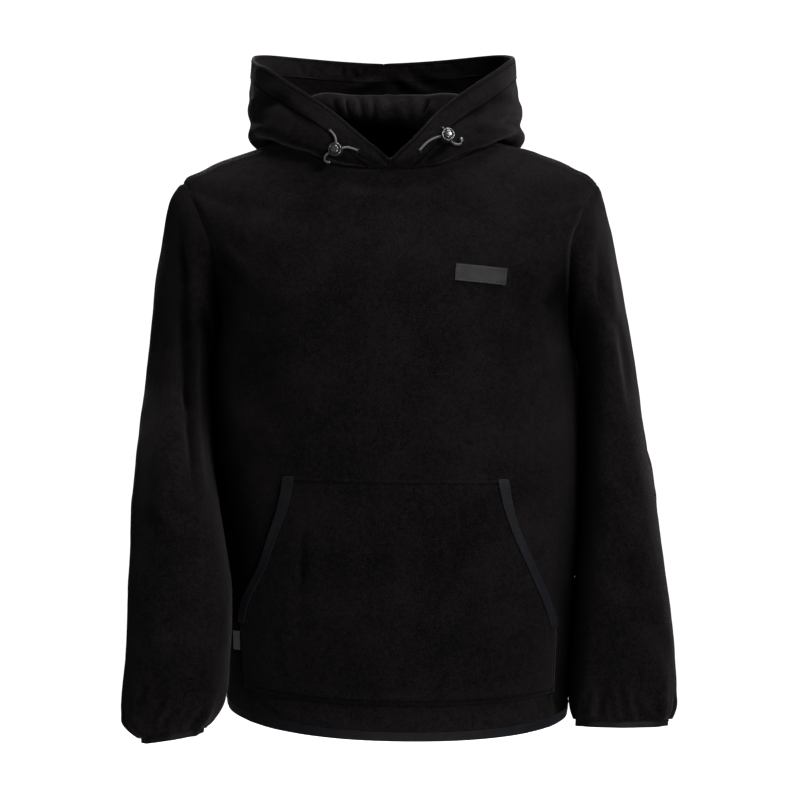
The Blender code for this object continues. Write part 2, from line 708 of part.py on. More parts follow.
def hem_line(front, back):
    """The hem's points all round, the way the cloth runs on below them, and its normals."""
    edge = np.concatenate((front.points[0, :-1], back.points[0, :-1]))
    above = np.concatenate((front.points[1, :-1], back.points[1, :-1]))
    normals = np.concatenate((front.normals[0, :-1], back.normals[0, :-1]))
    return edge, unit(edge - above), normals


def cuff_line(sleeve):
    """A cuff's points, the way its tape runs on straight down the arm, and level normals."""
    edge = sleeve.points[-1]
    middle = edge.mean(axis=0)
    run = np.broadcast_to(unit(middle - sleeve.points[CUFF_AXIS_ROW].mean(axis=0)), edge.shape)
    level = sleeve.normals[-1] - run * np.sum(sleeve.normals[-1] * run, axis=-1, keepdims=True)
    sleeve.normals[-1] = unit(level)
    return edge, run, sleeve.normals[-1]


def cast(tree, x, z):
    """The point of a surface straight behind (x, z), seen from the front, and its normal."""
    place, normal, _, _ = tree.ray_cast(Vector((x, -1, z)), Vector((0, 1, 0)))
    if normal.y > 0:
        normal = -normal
    return np.array(place), np.array(normal)


def surface_tree(piece):
    """A search tree of a piece's faces."""
    vertices = [vertex.co for vertex in piece.data.vertices]
    faces = [tuple(face.vertices) for face in piece.data.polygons]
    return BVHTree.FromPolygons(vertices, faces)


def flat_piece(name, tree, place, size, tilt, steps, wall, finish):
    """A small rectangle laid on a panel, its points taken from the panel and moved out."""
    across = np.linspace(-size[0] / 2, size[0] / 2, steps[0] + 1)
    up = np.linspace(-size[1] / 2, size[1] / 2, steps[1] + 1)
    turn = math.radians(tilt)
    points = np.zeros((len(up), len(across), 3))
    for i, dz in enumerate(up):
        for j, dx in enumerate(across):
            x = place[0] + dx * math.cos(turn) - dz * math.sin(turn)
            z = place[1] + dx * math.sin(turn) + dz * math.cos(turn)
            points[i, j], _ = cast(tree, x, z)
    skin = Skin(points)
    cloth(name, skin, finish, wall=wall, raised=wall / 2 + 3 * SEAM_GAP)


def turned(name, profile, sides, place, axis, finish):
    """A round piece turned from its profile, standing on a place along an axis."""
    data = bpy.data.meshes.new(name)
    points = [(radius, 0, height) for radius, height in profile]
    data.from_pydata(points, [(i, i + 1) for i in range(len(points) - 1)], [])
    piece = add_object(name, data, finish)
    piece.location = place
    piece.rotation_euler = Vector(axis).to_track_quat("Z", "Y").to_euler()
    screw = piece.modifiers.new("turn", "SCREW")
    screw.steps = sides
    screw.render_steps = sides
    screw.use_merge_vertices = True
    screw.merge_threshold = 0.0001
    screw.use_smooth_shade = True


def cord(name, route):
    """A tube along a smooth curve through the points of its route."""
    route = np.array(route)
    curve, run = through(route, np.linspace(0, len(route) - 1, 40 * (len(route) - 1) + 1))
    count = max(3, round(run[-1] / CORD_STEP) + 1)
    at = np.linspace(0, run[-1], count)
    data = bpy.data.curves.new(name, "CURVE")
    data.dimensions = "3D"
    data.bevel_depth = CORD_DIAMETER / 2
    data.bevel_resolution = 2
    data.use_fill_caps = True
    spline = data.splines.new("POLY")
    spline.points.add(count - 1)
    for point, *place in zip(spline.points, *(np.interp(at, run, curve[:, k]) for k in range(3))):
        point.co = (*place, 1)
    add_object(name, data, "cord")


# -------------------------------------------------------------------- build
def clear_scene():
    """Remove what the file opened with."""
    for item in list(bpy.data.objects):
        bpy.data.objects.remove(item, do_unlink=True)


def build():
    """Make every piece of the hoodie."""
    clear_scene()
    collection = bpy.data.collections.new(OBJECT_NAME)
    bpy.context.scene.collection.children.link(collection)

    front_sections = body_sections(FRONT)
    front = body_skin(front_sections, 1)
    back = body_skin(body_sections(BACK, front_sections), -1)
    for skin, folds in ((front, FRONT_FOLDS), (back, BACK_FOLDS)):
        press_folds(skin, skin.points[..., 0], skin.points[..., 2], folds, body_hold(skin))
    sleeves = {
        "left": sleeve_skin(armhole(front, back, "left"), LEFT_SLEEVE, "left", LEFT_SLEEVE_FOLDS),
        "right": sleeve_skin(armhole(front, back, "right"), RIGHT_SLEEVE, "right", RIGHT_SLEEVE_FOLDS),
    }
    hoods = {side: hood_skin(neck_line(front, back, side), side) for side in ("left", "right")}
    skins = [front, back, *sleeves.values(), *hoods.values()]
    for skin in skins:
        skin.points[..., 0] += LEAN * (skin.points[..., 2] - LEAN_LEVEL)
        skin.set_normals()
    share_normals(skins)
    for skin in hoods.values():
        settle_normals(skin)
    hem_edge, hem_run, hem_normals = hem_line(front, back)
    cuffs = {side: cuff_line(skin) for side, skin in sleeves.items()}
    for skin in skins:
        trim(skin)

    middle = POCKET_COLUMNS + SIDE_COLUMNS + 1
    edge = POCKET_COLUMNS + 1
    pocket_out = WALL + SEAM_GAP
    pocket = pocket_part(front, POCKET_ROWS, middle - edge, middle + edge, pocket_out)
    tape_out = pocket_out + WALL / 2 + SEAM_GAP + FLAT_TAPE_WALL / 2

    front_piece = cloth("front", front, "fleece")
    cloth("back", back, "fleece")
    cloth("pocket", pocket, "fleece")
    for side, first in (("left", middle + edge - 1), ("right", middle - edge)):
        binding = pocket_part(front, MOUTH_ROWS, first, first + 1, tape_out)
        cloth(f"pocket_binding_{side}", binding, "tape", wall=FLAT_TAPE_WALL)
        cloth(f"sleeve_{side}", sleeves[side], "fleece")
        cloth(f"hood_{side}", hoods[side], "fleece", wall=hood_wall())
        cuff = binding_skin(*cuffs[side])
        cloth(f"cuff_binding_{side}", cuff, "tape", wall=TAPE_WALL)
    cloth("hem_binding", binding_skin(hem_edge, hem_run, hem_normals), "tape", wall=TAPE_WALL)

    tree = surface_tree(front_piece)
    flat_piece("chest_patch", tree, PATCH_PLACE, PATCH_SIZE, PATCH_TILT, (10, 4), PATCH_WALL, "rubber")
    flat_piece("side_label", tree, LABEL_PLACE, LABEL_SIZE, 0, (1, 2), LABEL_WALL, "rubber")
    for side, drawcord in DRAWCORDS.items():
        for stretch in ("upper", "lower", "tail"):
            cord(f"cord_{stretch}_{side}", drawcord[stretch])
        turned(f"cord_lock_{side}", LOCK_PROFILE, LOCK_SIDES, *drawcord["lock"], "plastic")
        turned(f"lock_button_{side}", BUTTON_PROFILE, LOCK_SIDES, *drawcord["lock"], "plastic")
        turned(f"cord_end_{side}", END_PROFILE, END_SIDES, *drawcord["end"], "plastic")


build()
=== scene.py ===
import json
import math

import bmesh
import bpy
import numpy as np
from mathutils import Matrix, Vector, noise
from mathutils.bvhtree import BVHTree
from mathutils.kdtree import KDTree

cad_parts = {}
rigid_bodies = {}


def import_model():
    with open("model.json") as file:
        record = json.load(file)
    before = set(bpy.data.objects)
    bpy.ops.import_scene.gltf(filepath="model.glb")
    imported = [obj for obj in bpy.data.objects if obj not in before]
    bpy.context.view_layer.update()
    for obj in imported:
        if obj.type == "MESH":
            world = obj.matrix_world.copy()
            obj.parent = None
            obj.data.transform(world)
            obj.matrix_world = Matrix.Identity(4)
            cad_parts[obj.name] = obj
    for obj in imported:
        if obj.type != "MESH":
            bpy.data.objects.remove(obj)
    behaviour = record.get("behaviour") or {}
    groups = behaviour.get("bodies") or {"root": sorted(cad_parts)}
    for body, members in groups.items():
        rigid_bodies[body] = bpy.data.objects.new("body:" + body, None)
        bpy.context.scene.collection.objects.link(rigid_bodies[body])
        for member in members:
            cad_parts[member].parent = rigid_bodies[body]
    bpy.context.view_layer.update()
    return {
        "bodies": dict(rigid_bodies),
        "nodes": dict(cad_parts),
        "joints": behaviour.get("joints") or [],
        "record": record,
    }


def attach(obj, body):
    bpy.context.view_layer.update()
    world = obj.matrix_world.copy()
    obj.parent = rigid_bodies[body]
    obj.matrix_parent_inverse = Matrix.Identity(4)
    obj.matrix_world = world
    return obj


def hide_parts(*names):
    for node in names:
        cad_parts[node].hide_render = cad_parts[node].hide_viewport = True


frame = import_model()
nodes = frame["nodes"]
scene = bpy.context.scene


# ------------------------------------------------------------------- camera
EYE = Vector((0.006, -4.05, -0.2855))
lens = bpy.data.cameras.new("camera")
lens.sensor_width = 36
lens.lens = 148.1
camera = bpy.data.objects.new("camera", lens)
camera.location = EYE
camera.rotation_euler = (math.radians(90), 0, 0)
scene.collection.objects.link(camera)
scene.camera = camera
scene.view_settings.view_transform = "Standard"


# ------------------------------------------------------------------- shader maths
class Wire:
    """A shader socket that Python's operators can be used on; each adds its Math node."""

    def __init__(self, tree, socket):
        self.tree = tree
        self.socket = socket

    def maths(self, operation, *others):
        node = self.tree.nodes.new("ShaderNodeMath")
        node.operation = operation
        for place, value in enumerate((self, *others)):
            plug(self.tree, value, node.inputs[place])
        return Wire(self.tree, node.outputs[0])

    def flipped(self, operation, other):
        node = self.tree.nodes.new("ShaderNodeMath")
        node.operation = operation
        plug(self.tree, other, node.inputs[0])
        plug(self.tree, self, node.inputs[1])
        return Wire(self.tree, node.outputs[0])

    def __add__(self, other):
        return self.maths("ADD", other)

    def __radd__(self, other):
        return self.flipped("ADD", other)

    def __sub__(self, other):
        return self.maths("SUBTRACT", other)

    def __rsub__(self, other):
        return self.flipped("SUBTRACT", other)

    def __mul__(self, other):
        return self.maths("MULTIPLY", other)

    def __rmul__(self, other):
        return self.flipped("MULTIPLY", other)

    def sine(self):
        return self.maths("SINE")

    def clamp(self):
        return self.maths("MAXIMUM", 0.0).maths("MINIMUM", 1.0)


def plug(tree, value, socket):
    """Link a wire to a socket, or set the socket's own value."""
    if isinstance(value, Wire):
        tree.links.new(value.socket, socket)
    else:
        socket.default_value = value


def add_node(tree, kind, settings=None, output=0, **values):
    """Any node: its type, its settings, the values or wires of its sockets."""
    node = tree.nodes.new(kind)
    for name, value in (settings or {}).items():
        if name == "stops":
            ramp = node.color_ramp.elements
            while len(ramp) < len(value):
                ramp.new(0.5)
            for stop, (place, colour) in zip(ramp, value):
                stop.position = place
                stop.color = (*colour, 1)
        else:
            setattr(node, name, value)
    for name, value in values.items():
        place = int(name[1:]) if name[0] == "_" else name.replace("_", " ")
        plug(tree, value, node.inputs[place])
    return Wire(tree, node.outputs[output])


class Finish:
    """A material being made: its tree, its main shader and its place on the piece."""

    def __init__(self, name, **constants):
        self.material = bpy.data.materials.new(name)
        self.material.use_nodes = True
        self.tree = self.material.node_tree
        self.shader = self.tree.nodes["Principled BSDF"]
        for socket, value in constants.items():
            self.shader.inputs[socket.replace("_", " ")].default_value = value

    def node(self, kind, settings=None, **values):
        return add_node(self.tree, kind, settings, **values)

    def place(self):
        return self.node("ShaderNodeTexCoord", output=3)

    def along(self):
        return self.node("ShaderNodeUVMap", {"uv_map": "run"})

    def grain(self, place, scale, detail=2.0, roughness=0.5, stretch=None):
        if stretch is not None:
            place = self.node("ShaderNodeMapping", Vector=place, Scale=stretch)
        return self.node(
            "ShaderNodeTexNoise", Vector=place, Scale=scale, Detail=detail, Roughness=roughness
        )

    def blend(self, share, first, second):
        """A mix of two colours."""
        node = self.tree.nodes.new("ShaderNodeMix")
        node.data_type = "RGBA"
        plug(self.tree, share, node.inputs[0])
        for place, value in ((6, first), (7, second)):
            plug(self.tree, value if isinstance(value, Wire) else (*value, 1), node.inputs[place])
        return Wire(self.tree, node.outputs[2])

    def set(self, socket, value):
        plug(self.tree, value, self.shader.inputs[socket])

    def sink_to_painted_black(self, share):
        """Painted shade: let the finish sink to a dead black where the share of painted light falls to nothing."""
        painted_black_shader = self.tree.nodes.new("ShaderNodeBsdfPrincipled")
        painted_black_shader.inputs["Base Color"].default_value = (0, 0, 0, 1)
        painted_black_shader.inputs["Roughness"].default_value = 1
        painted_black_shader.inputs["Specular IOR Level"].default_value = 0
        mix = self.tree.nodes.new("ShaderNodeMixShader")
        plug(self.tree, share, mix.inputs[0])
        self.tree.links.new(painted_black_shader.outputs[0], mix.inputs[1])
        self.tree.links.new(self.shader.outputs[0], mix.inputs[2])
        self.tree.links.new(mix.outputs[0], self.tree.nodes["Material Output"].inputs["Surface"])

    def bump(self, height, distance, strength=1.0):
        self.set(
            "Normal",
            self.node("ShaderNodeBump", Height=height, Distance=distance, Strength=strength),
        )


# ------------------------------------------------------------------- finishes
def fleece_finish():
    """Black microfleece: short dense nap in soft clumps, with a faint sheen."""
    finish = Finish(
        "fleece",
        Specular_IOR_Level=0.02,
        Sheen_Weight=0.055,
        Sheen_Roughness=0.42,
        Sheen_Tint=(0.80, 0.73, 0.75, 1),
    )
    place = finish.place()
    fibres = finish.grain(place, 2600, detail=3, roughness=0.65)
    tufts = finish.grain(place, 620, detail=3, roughness=0.6)
    clumps = finish.grain(place, 150, detail=2)
    brushed = finish.grain(place, 16, detail=3, roughness=0.55)
    nap = fibres * 0.30 + tufts * 0.45 + clumps * 0.25
    shade = ((tufts - 0.5) * 3.0 + (clumps - 0.5) * 1.0 + (brushed - 0.5) * 1.2 + 0.45).clamp()
    # Painted light and shade: the "light" mark scales the colour, the grooves of the stitch rows get painted shade,
    # and where both fall low the finish sinks to black.
    row = finish.node("ShaderNodeAttribute", {"attribute_name": "row"}, output=2)
    light = finish.node("ShaderNodeAttribute", {"attribute_name": "light"}, output=2)
    groove = (row * row * -0.55).maths("EXPONENT")
    painted_light_and_shade = (light * (1 - groove * 0.4)).clamp()
    worn = finish.blend(shade, (0.0026, 0.0022, 0.0023), (0.0114, 0.0096, 0.0100))
    finish.set("Base Color", finish.blend(painted_light_and_shade, (0.0, 0.0, 0.0), worn))
    finish.set("Roughness", 0.86 + (clumps - 0.5) * 0.2)
    finish.bump(nap - groove * 0.4, 0.0012, 0.9)
    finish.sink_to_painted_black((painted_light_and_shade * 2.2).clamp())
    return finish.material


def tape_finish():
    """Folded knitted binding: finer and flatter than the fleece, a little blue."""
    finish = Finish(
        "binding",
        Specular_IOR_Level=0.12,
        Sheen_Weight=0.06,
        Sheen_Roughness=0.35,
        Sheen_Tint=(0.70, 0.72, 0.85, 1),
    )
    place = finish.place()
    rows = finish.node(
        "ShaderNodeTexWave",
        {"wave_type": "BANDS", "bands_direction": "DIAGONAL"},
        Vector=place,
        Scale=520.0,
        Distortion=1.2,
        Detail=1.0,
        Detail_Scale=3.0,
        output=1,
    )
    soft = finish.grain(place, 900, detail=2)
    wear = finish.grain(place, 60, detail=2)
    shade = ((wear - 0.5) * 1.3 + (soft - 0.5) * 0.8 + 0.5).clamp()
    finish.set("Base Color", finish.blend(shade, (0.0019, 0.0020, 0.0031), (0.0050, 0.0052, 0.0074)))
    finish.set("Roughness", 0.62 + (soft - 0.5) * 0.2)
    finish.bump(rows * 0.6 + soft * 0.4, 0.00022, 0.8)
    return finish.material


def thread_finish():
    """Twisted black sewing thread."""
    finish = Finish("thread", Specular_IOR_Level=0.12)
    place = finish.place()
    twist = finish.grain(place, 2400, detail=1)
    finish.set("Base Color", finish.blend(twist.clamp(), (0.0022, 0.0021, 0.0023), (0.0064, 0.0060, 0.0064)))
    finish.set("Roughness", 0.5 + (twist - 0.5) * 0.3)
    finish.bump(twist, 0.0001, 0.6)
    return finish.material


def rubber_finish(name, dark, pale):
    """Soft grey moulded rubber with a fine matt grain."""
    finish = Finish(name, Specular_IOR_Level=0.13)
    place = finish.place()
    pores = finish.grain(place, 1900, detail=2)
    bloom = finish.grain(place, 70, detail=3)
    shade = ((bloom - 0.5) * 1.4 + (pores - 0.5) * 0.4 + 0.5).clamp()
    finish.set("Base Color", finish.blend(shade, dark, pale))
    finish.set("Roughness", 0.52 + (pores - 0.5) * 0.25)
    finish.bump(pores, 0.00008, 0.5)
    return finish.material


def cord_finish():
    """Round braided elastic cord: two sets of plaits that cross."""
    finish = Finish("cord", Specular_IOR_Level=0.5, Sheen_Weight=0.2)
    along = finish.along()
    parts = finish.tree.nodes.new("ShaderNodeSeparateXYZ")
    plug(finish.tree, along, parts.inputs[0])
    run = Wire(finish.tree, parts.outputs[0])
    turn = Wire(finish.tree, parts.outputs[1])
    pitch, plaits = 3600, 4
    right = (run * pitch + turn * 6.2832 * plaits).sine()
    left = (run * pitch - turn * 6.2832 * plaits).sine()
    braid = (right.maths("MAXIMUM", left) * 0.5 + 0.5).clamp()
    finish.set("Base Color", finish.blend(braid, (0.010, 0.010, 0.011), (0.058, 0.056, 0.060)))
    finish.set("Roughness", 0.42 + (1 - braid) * 0.2)
    finish.bump(braid, 0.00025, 0.9)
    return finish.material


def plastic_finish():
    """Smooth black moulded plastic with the faint orange-peel of its mould."""
    finish = Finish("plastic", Specular_IOR_Level=0.62, Coat_Weight=0.35, Coat_Roughness=0.12)
    place = finish.place()
    peel = finish.grain(place, 420, detail=2)
    scuff = finish.grain(place, 1400, detail=3)
    finish.set("Base Color", finish.blend(peel.clamp(), (0.010, 0.010, 0.011), (0.022, 0.022, 0.024)))
    finish.set("Roughness", 0.20 + (scuff - 0.35).clamp() * 0.35)
    finish.bump(peel, 0.00004, 0.4)
    return finish.material


def label_finish():
    """A folded woven satin tab, left bare."""
    finish = Finish("woven_label", Specular_IOR_Level=0.45, Sheen_Weight=0.15)
    place = finish.place()
    ribs = finish.node(
        "ShaderNodeTexWave",
        {"wave_type": "BANDS", "bands_direction": "Z"},
        Vector=place,
        Scale=900.0,
        Distortion=0.3,
        output=1,
    )
    fuzz = finish.grain(place, 1200, detail=2)
    weave = (fuzz * 0.6 + ribs * 0.4).clamp()
    finish.set("Base Color", finish.blend(weave, (0.008, 0.008, 0.009), (0.030, 0.030, 0.032)))
    finish.set("Roughness", 0.42 + (fuzz - 0.5) * 0.2)
    finish.bump(ribs * 0.7 + fuzz * 0.3, 0.00012, 0.7)
    return finish.material


FLEECE = fleece_finish()
BINDING = tape_finish()
THREAD = thread_finish()
RUBBER = rubber_finish("rubber", (0.0046, 0.0045, 0.0048), (0.0084, 0.0082, 0.0088))
# The patch's border line is a paler rubber than the patch.
PALE_RUBBER = rubber_finish("pale_rubber", (0.0185, 0.0182, 0.0192), (0.032, 0.0312, 0.0328))
CORD = cord_finish()
PLASTIC = plastic_finish()
LABEL = label_finish()


# ------------------------------------------------------------------- mesh tools
def points_of(mesh):
    flat = np.empty(len(mesh.vertices) * 3, np.float32)
    mesh.vertices.foreach_get("co", flat)
    return flat.reshape(-1, 3).astype(float)


def set_points(mesh, points):
    mesh.vertices.foreach_set("co", np.asarray(points, np.float32).ravel())
    mesh.update()


def alone(piece):
    """Select one piece and nothing else."""
    bpy.ops.object.select_all(action="DESELECT")
    piece.select_set(True)
    bpy.context.view_layer.objects.active = piece


def add_piece(name, mesh, finish):
    piece = bpy.data.objects.new(name, mesh)
    scene.collection.objects.link(piece)
    mesh.materials.clear()
    mesh.materials.append(finish)
    return piece


def smooth(mesh):
    for polygon in mesh.polygons:
        polygon.use_smooth = True


def mesh_tree(mesh):
    """A whole mesh as a surface to look a place up on."""
    return BVHTree.FromPolygons(
        [tuple(point) for point in points_of(mesh)], [tuple(polygon.vertices) for polygon in mesh.polygons]
    )


def tube(name, route, radius, resolution, closed=False):
    """A round tube along a route, with flat ends or none."""
    curve = bpy.data.curves.new(name, "CURVE")
    curve.dimensions = "3D"
    curve.bevel_depth = radius
    curve.bevel_resolution = resolution
    curve.use_fill_caps = not closed
    spline = curve.splines.new("POLY")
    spline.points.add(len(route) - 1)
    spline.use_cyclic_u = closed
    for point, place in zip(spline.points, route):
        point.co = (*place, 1)
    piece = bpy.data.objects.new(name, curve)
    scene.collection.objects.link(piece)
    alone(piece)
    bpy.ops.object.convert(target="MESH")
    return bpy.context.active_object


# A place far outside each wall, on the side that shows.
OUTSIDE = {
    "front": (0, -1, -0.4),
    "back": (0, 1, -0.4),
    "sleeve_left": (1, 0, -0.4),
    "sleeve_right": (-1, 0, -0.4),
    "hood_left": (1, 0, 0.02),
    "hood_right": (-1, 0, 0.02),
    "pocket": (0, -1, -0.5),
    "pocket_binding_left": (0.15, -1, -0.45),
    "pocket_binding_right": (-0.15, -1, -0.45),
    "chest_patch": (0.1, -1, -0.13),
    "side_label": (-0.19, -1, -0.58),
}
OUTER, INNER, CUT = 0, 1, 2
# The thickest wall, the distance at which loose points are one, and the bend of a cut edge.
WALL_REACH = 0.0052
ONE_POINT = 0.00001
SHARP = math.radians(50)


def sort_faces(mesh, far):
    """Mark each face of a thin wall as outer, inner or cut edge, by its material index.

    A skin's face has the other skin right behind it.  Points whose skins face the
    same way belong to the same skin; a face with points of both is a cut edge."""
    tree = BVHTree.FromBMesh(mesh)
    ways = {vertex: Vector() for vertex in mesh.verts}
    for face in mesh.faces:
        start = face.calc_center_median() - face.normal * 0.0001
        normal, reach = tree.ray_cast(start, -face.normal)[1::2]
        if reach is not None and reach < WALL_REACH and normal.dot(face.normal) < -0.7:
            for vertex in face.verts:
                ways[vertex] += face.normal
    parent = {vertex: (vertex, 1) for vertex in mesh.verts}

    def root(vertex):
        sign = 1
        while parent[vertex][0] is not vertex:
            sign *= parent[vertex][1]
            vertex = parent[vertex][0]
        return vertex, sign

    links = []
    for edge in mesh.edges:
        a, b = edge.verts
        if ways[a].length > 0 and ways[b].length > 0:
            links.append((ways[a].normalized().dot(ways[b].normalized()), a, b))
    links.sort(key=lambda link: -abs(link[0]))
    for same, a, b in links:
        (root_a, sign_a), (root_b, sign_b) = root(a), root(b)
        if root_a is not root_b:
            parent[root_b] = (root_a, sign_a * sign_b * (1 if same > 0 else -1))
    signs = {vertex: root(vertex)[1] for vertex in mesh.verts}
    near = min(mesh.verts, key=lambda vertex: (vertex.co - Vector(far)).length)
    for face in mesh.faces:
        kinds = {signs[vertex] * signs[near] for vertex in face.verts}
        face.material_index = CUT if len(kinds) == 2 else OUTER if 1 in kinds else INNER


def wall_copy(node, name, finish):
    """A copy of a CAD solid with its points merged, its quads back and its cut edges creased."""
    piece = add_piece(name, nodes[node].data.copy(), finish)
    piece.data.materials.append(finish)
    piece.data.materials.append(finish)
    alone(piece)
    bpy.ops.object.mode_set(mode="EDIT")
    bpy.ops.mesh.select_all(action="SELECT")
    bpy.ops.mesh.remove_doubles(threshold=ONE_POINT)
    bpy.ops.object.mode_set(mode="OBJECT")
    if piece.data.has_custom_normals:
        bpy.ops.mesh.customdata_custom_splitnormals_clear()
    mesh = bmesh.new()
    mesh.from_mesh(piece.data)
    if node in OUTSIDE:
        sort_faces(mesh, OUTSIDE[node])
    mesh.to_mesh(piece.data)
    mesh.free()
    bpy.ops.object.mode_set(mode="EDIT")
    bpy.ops.mesh.select_all(action="SELECT")
    bpy.ops.mesh.tris_convert_to_quads(
        face_threshold=math.radians(60), shape_threshold=math.radians(180), materials=True
    )
    bpy.ops.object.mode_set(mode="OBJECT")
    mesh = bmesh.new()
    mesh.from_mesh(piece.data)
    layer = mesh.edges.layers.float.new("crease_edge")
    for edge in mesh.edges:
        cut = [face.material_index == CUT for face in edge.link_faces]
        if sum(cut) == 1 or (all(cut) and edge.calc_face_angle(0) > SHARP):
            edge[layer] = 1.0
    mesh.to_mesh(piece.data)
    mesh.free()
    return piece


def refine(piece, levels, rounds=3):
    """Subdivide a wall so that its finer skins still pass through the points that it had."""
    alone(piece)
    target = points_of(piece.data)
    control = target.copy()
    modifier = piece.modifiers.new("finer", "SUBSURF")
    modifier.levels = modifier.render_levels = levels
    modifier.boundary_smooth = "PRESERVE_CORNERS"
    for _ in range(rounds):
        set_points(piece.data, control)
        bpy.context.view_layer.update()
        seen = piece.evaluated_get(bpy.context.evaluated_depsgraph_get())
        reached = points_of(seen.data)[: len(target)]
        control += (target - reached) * 0.85
    set_points(piece.data, control)
    bpy.ops.object.modifier_apply(modifier=modifier.name)


def sewn_panel(node, levels):
    piece = wall_copy(node, "cloth_" + node, FLEECE)
    refine(piece, levels)
    return piece


PANELS = {
    "front": 3,
    "back": 2,
    "sleeve_left": 3,
    "sleeve_right": 3,
    "hood_left": 3,
    "hood_right": 3,
    "pocket": 3,
}
panels = {node: sewn_panel(node, levels) for node, levels in PANELS.items()}


def taped_edge(node):
    piece = wall_copy(node, "tape_" + node, BINDING)
    mesh = bmesh.new()
    mesh.from_mesh(piece.data)
    layer = mesh.edges.layers.float["crease_edge"]
    for edge in mesh.edges:
        edge[layer] = 0.9 if edge.calc_face_angle(0) > SHARP else 0
    mesh.to_mesh(piece.data)
    mesh.free()
    refine(piece, 2)
    return piece


TAPES = (
    "hem_binding",
    "cuff_binding_left",
    "cuff_binding_right",
    "pocket_binding_left",
    "pocket_binding_right",
)
tapes = {node: taped_edge(node) for node in TAPES}
patch = wall_copy("chest_patch", "patch", RUBBER)
refine(patch, 2, rounds=2)
tab = wall_copy("side_label", "side_tab", LABEL)
refine(tab, 2, rounds=2)


# ------------------------------------------------------------------- skins
class Skin:
    """What is known of a refined wall: its way out, its cut edges and its outer face."""

    def __init__(self, node, piece):
        self.piece = piece
        mesh = bmesh.new()
        mesh.from_mesh(piece.data)
        mesh.faces.ensure_lookup_table()
        mesh.verts.ensure_lookup_table()
        self.outer = set(face.index for face in mesh.faces if face.material_index == OUTER)
        self.inside = np.zeros(len(mesh.verts), bool)
        for face in mesh.faces:
            if face.material_index == INNER:
                for vertex in face.verts:
                    self.inside[vertex.index] = True
        self.out = np.zeros((len(mesh.verts), 3))
        for face in mesh.faces:
            if face.material_index != CUT:
                way = 1 if face.material_index == OUTER else -1
                normal = np.array(face.normal) * face.calc_area() * way
                for vertex in face.verts:
                    self.out[vertex.index] += normal
        length = np.linalg.norm(self.out, axis=1)
        plain = length > 1e-12
        self.out[plain] /= length[plain, None]
        self.points = points_of(piece.data)
        known = KDTree(int(plain.sum()))
        for index in np.nonzero(plain)[0]:
            known.insert(self.points[index], int(index))
        known.balance()
        for index in np.nonzero(~plain)[0]:
            self.out[index] = self.out[known.find(self.points[index])[1]]
        self.rim = set()
        self.rim_edges = []
        self.into = {}
        links = {}
        for edge in mesh.edges:
            if [face.material_index == CUT for face in edge.link_faces].count(True) != 1:
                continue
            self.rim.update(vertex.index for vertex in edge.verts)
            self.rim_edges.append([vertex.index for vertex in edge.verts])
            sides = [face for face in edge.link_faces if face.index in self.outer]
            if len(sides) == 1:
                a, b = (vertex.index for vertex in edge.verts)
                links.setdefault(a, []).append(b)
                links.setdefault(b, []).append(a)
                for index in (a, b):
                    way = np.array(sides[0].calc_center_median()) - self.points[index]
                    self.into[index] = self.into.get(index, 0) + way
        self.rim.update(np.nonzero(~plain)[0].tolist())
        self.loops = []
        left = set(links)
        while left:
            loop = [left.pop()]
            while True:
                ahead = [index for index in links[loop[-1]] if index in left]
                if not ahead:
                    break
                loop.append(ahead[0])
                left.discard(ahead[0])
            self.loops.append(loop)
        mesh.free()

    def face_tree(self, chosen):
        """The outer or the inner face alone, as it is now."""
        points = points_of(self.piece.data)
        faces = [tuple(self.piece.data.polygons[index].vertices) for index in sorted(chosen)]
        return BVHTree.FromPolygons([tuple(point) for point in points], faces)

    def runs(self, neighbour):
        """Each cut edge in order, split at its corners and where its neighbour changes."""
        found = []
        for loop in self.loops:
            count = len(loop)
            place = self.points[loop]
            ahead = np.roll(place, -1, 0) - place
            behind = place - np.roll(place, 1, 0)
            turn = (ahead * behind).sum(1) / np.maximum(
                np.linalg.norm(ahead, axis=1) * np.linalg.norm(behind, axis=1), 1e-12
            )
            names = [neighbour.get(index, "free") for index in loop]
            breaks = [n for n in range(count) if turn[n] < 0.6 or names[n] != names[n - 1]]
            if not breaks:
                found.append((names[0], loop + loop[:1]))
                continue
            for at, begin in enumerate(breaks):
                stop = breaks[(at + 1) % len(breaks)]
                length = (stop - begin) % count or count
                run = [loop[(begin + step) % count] for step in range(length + 1)]
                if length > 3:
                    found.append((names[(begin + 1) % count], run))
        return found


skins = {node: Skin(node, piece) for node, piece in panels.items()}


# Seams: the step at which edges are compared, how far apart two that meet can be, and how
# much they then lie over each other.
SEAM_STEP = 0.0006
SEAM_REACH = 0.0012
SEAM_OVERLAP = 0.0005


def meet_at_seams():
    """Sew the cut edges of neighbours together, a little over each other, and note who meets whom."""
    places = []
    for node, skin in skins.items():
        for first, second in skin.rim_edges:
            a, b = skin.points[first], skin.points[second]
            steps = max(1, round(np.linalg.norm(b - a) / SEAM_STEP))
            places += [(node, a + (b - a) * step / steps) for step in range(steps)]
    whole = KDTree(len(places))
    for at, (node, place) in enumerate(places):
        whole.insert(place, at)
    whole.balance()
    neighbours = {node: {} for node in skins}
    for node, skin in skins.items():
        moved = skin.points.copy()
        away = {}
        for first, second in skin.piece.data.edge_keys:
            for rim_point, other in ((first, second), (second, first)):
                if rim_point in skin.rim and other not in skin.rim:
                    away[rim_point] = away.get(rim_point, 0) + skin.points[rim_point] - skin.points[other]
        for index in skin.rim:
            near = whole.find_range(skin.points[index], SEAM_REACH)
            near = [found for found in near if places[found[1]][0] != node]
            if near:
                place, found, distance = min(near, key=lambda found: found[2])
                neighbours[node][index] = places[found][0]
                moved[index] = (skin.points[index] + np.array(place)) / 2
                if index in away:
                    moved[index] += away[index] / max(np.linalg.norm(away[index]), 1e-9) * SEAM_OVERLAP
        set_points(skin.piece.data, moved)
        skin.met = moved
    for skin in skins.values():
        skin.points = skin.met
    return neighbours


neighbours = meet_at_seams()
runs = {node: skin.runs(neighbours[node]) for node, skin in skins.items()}


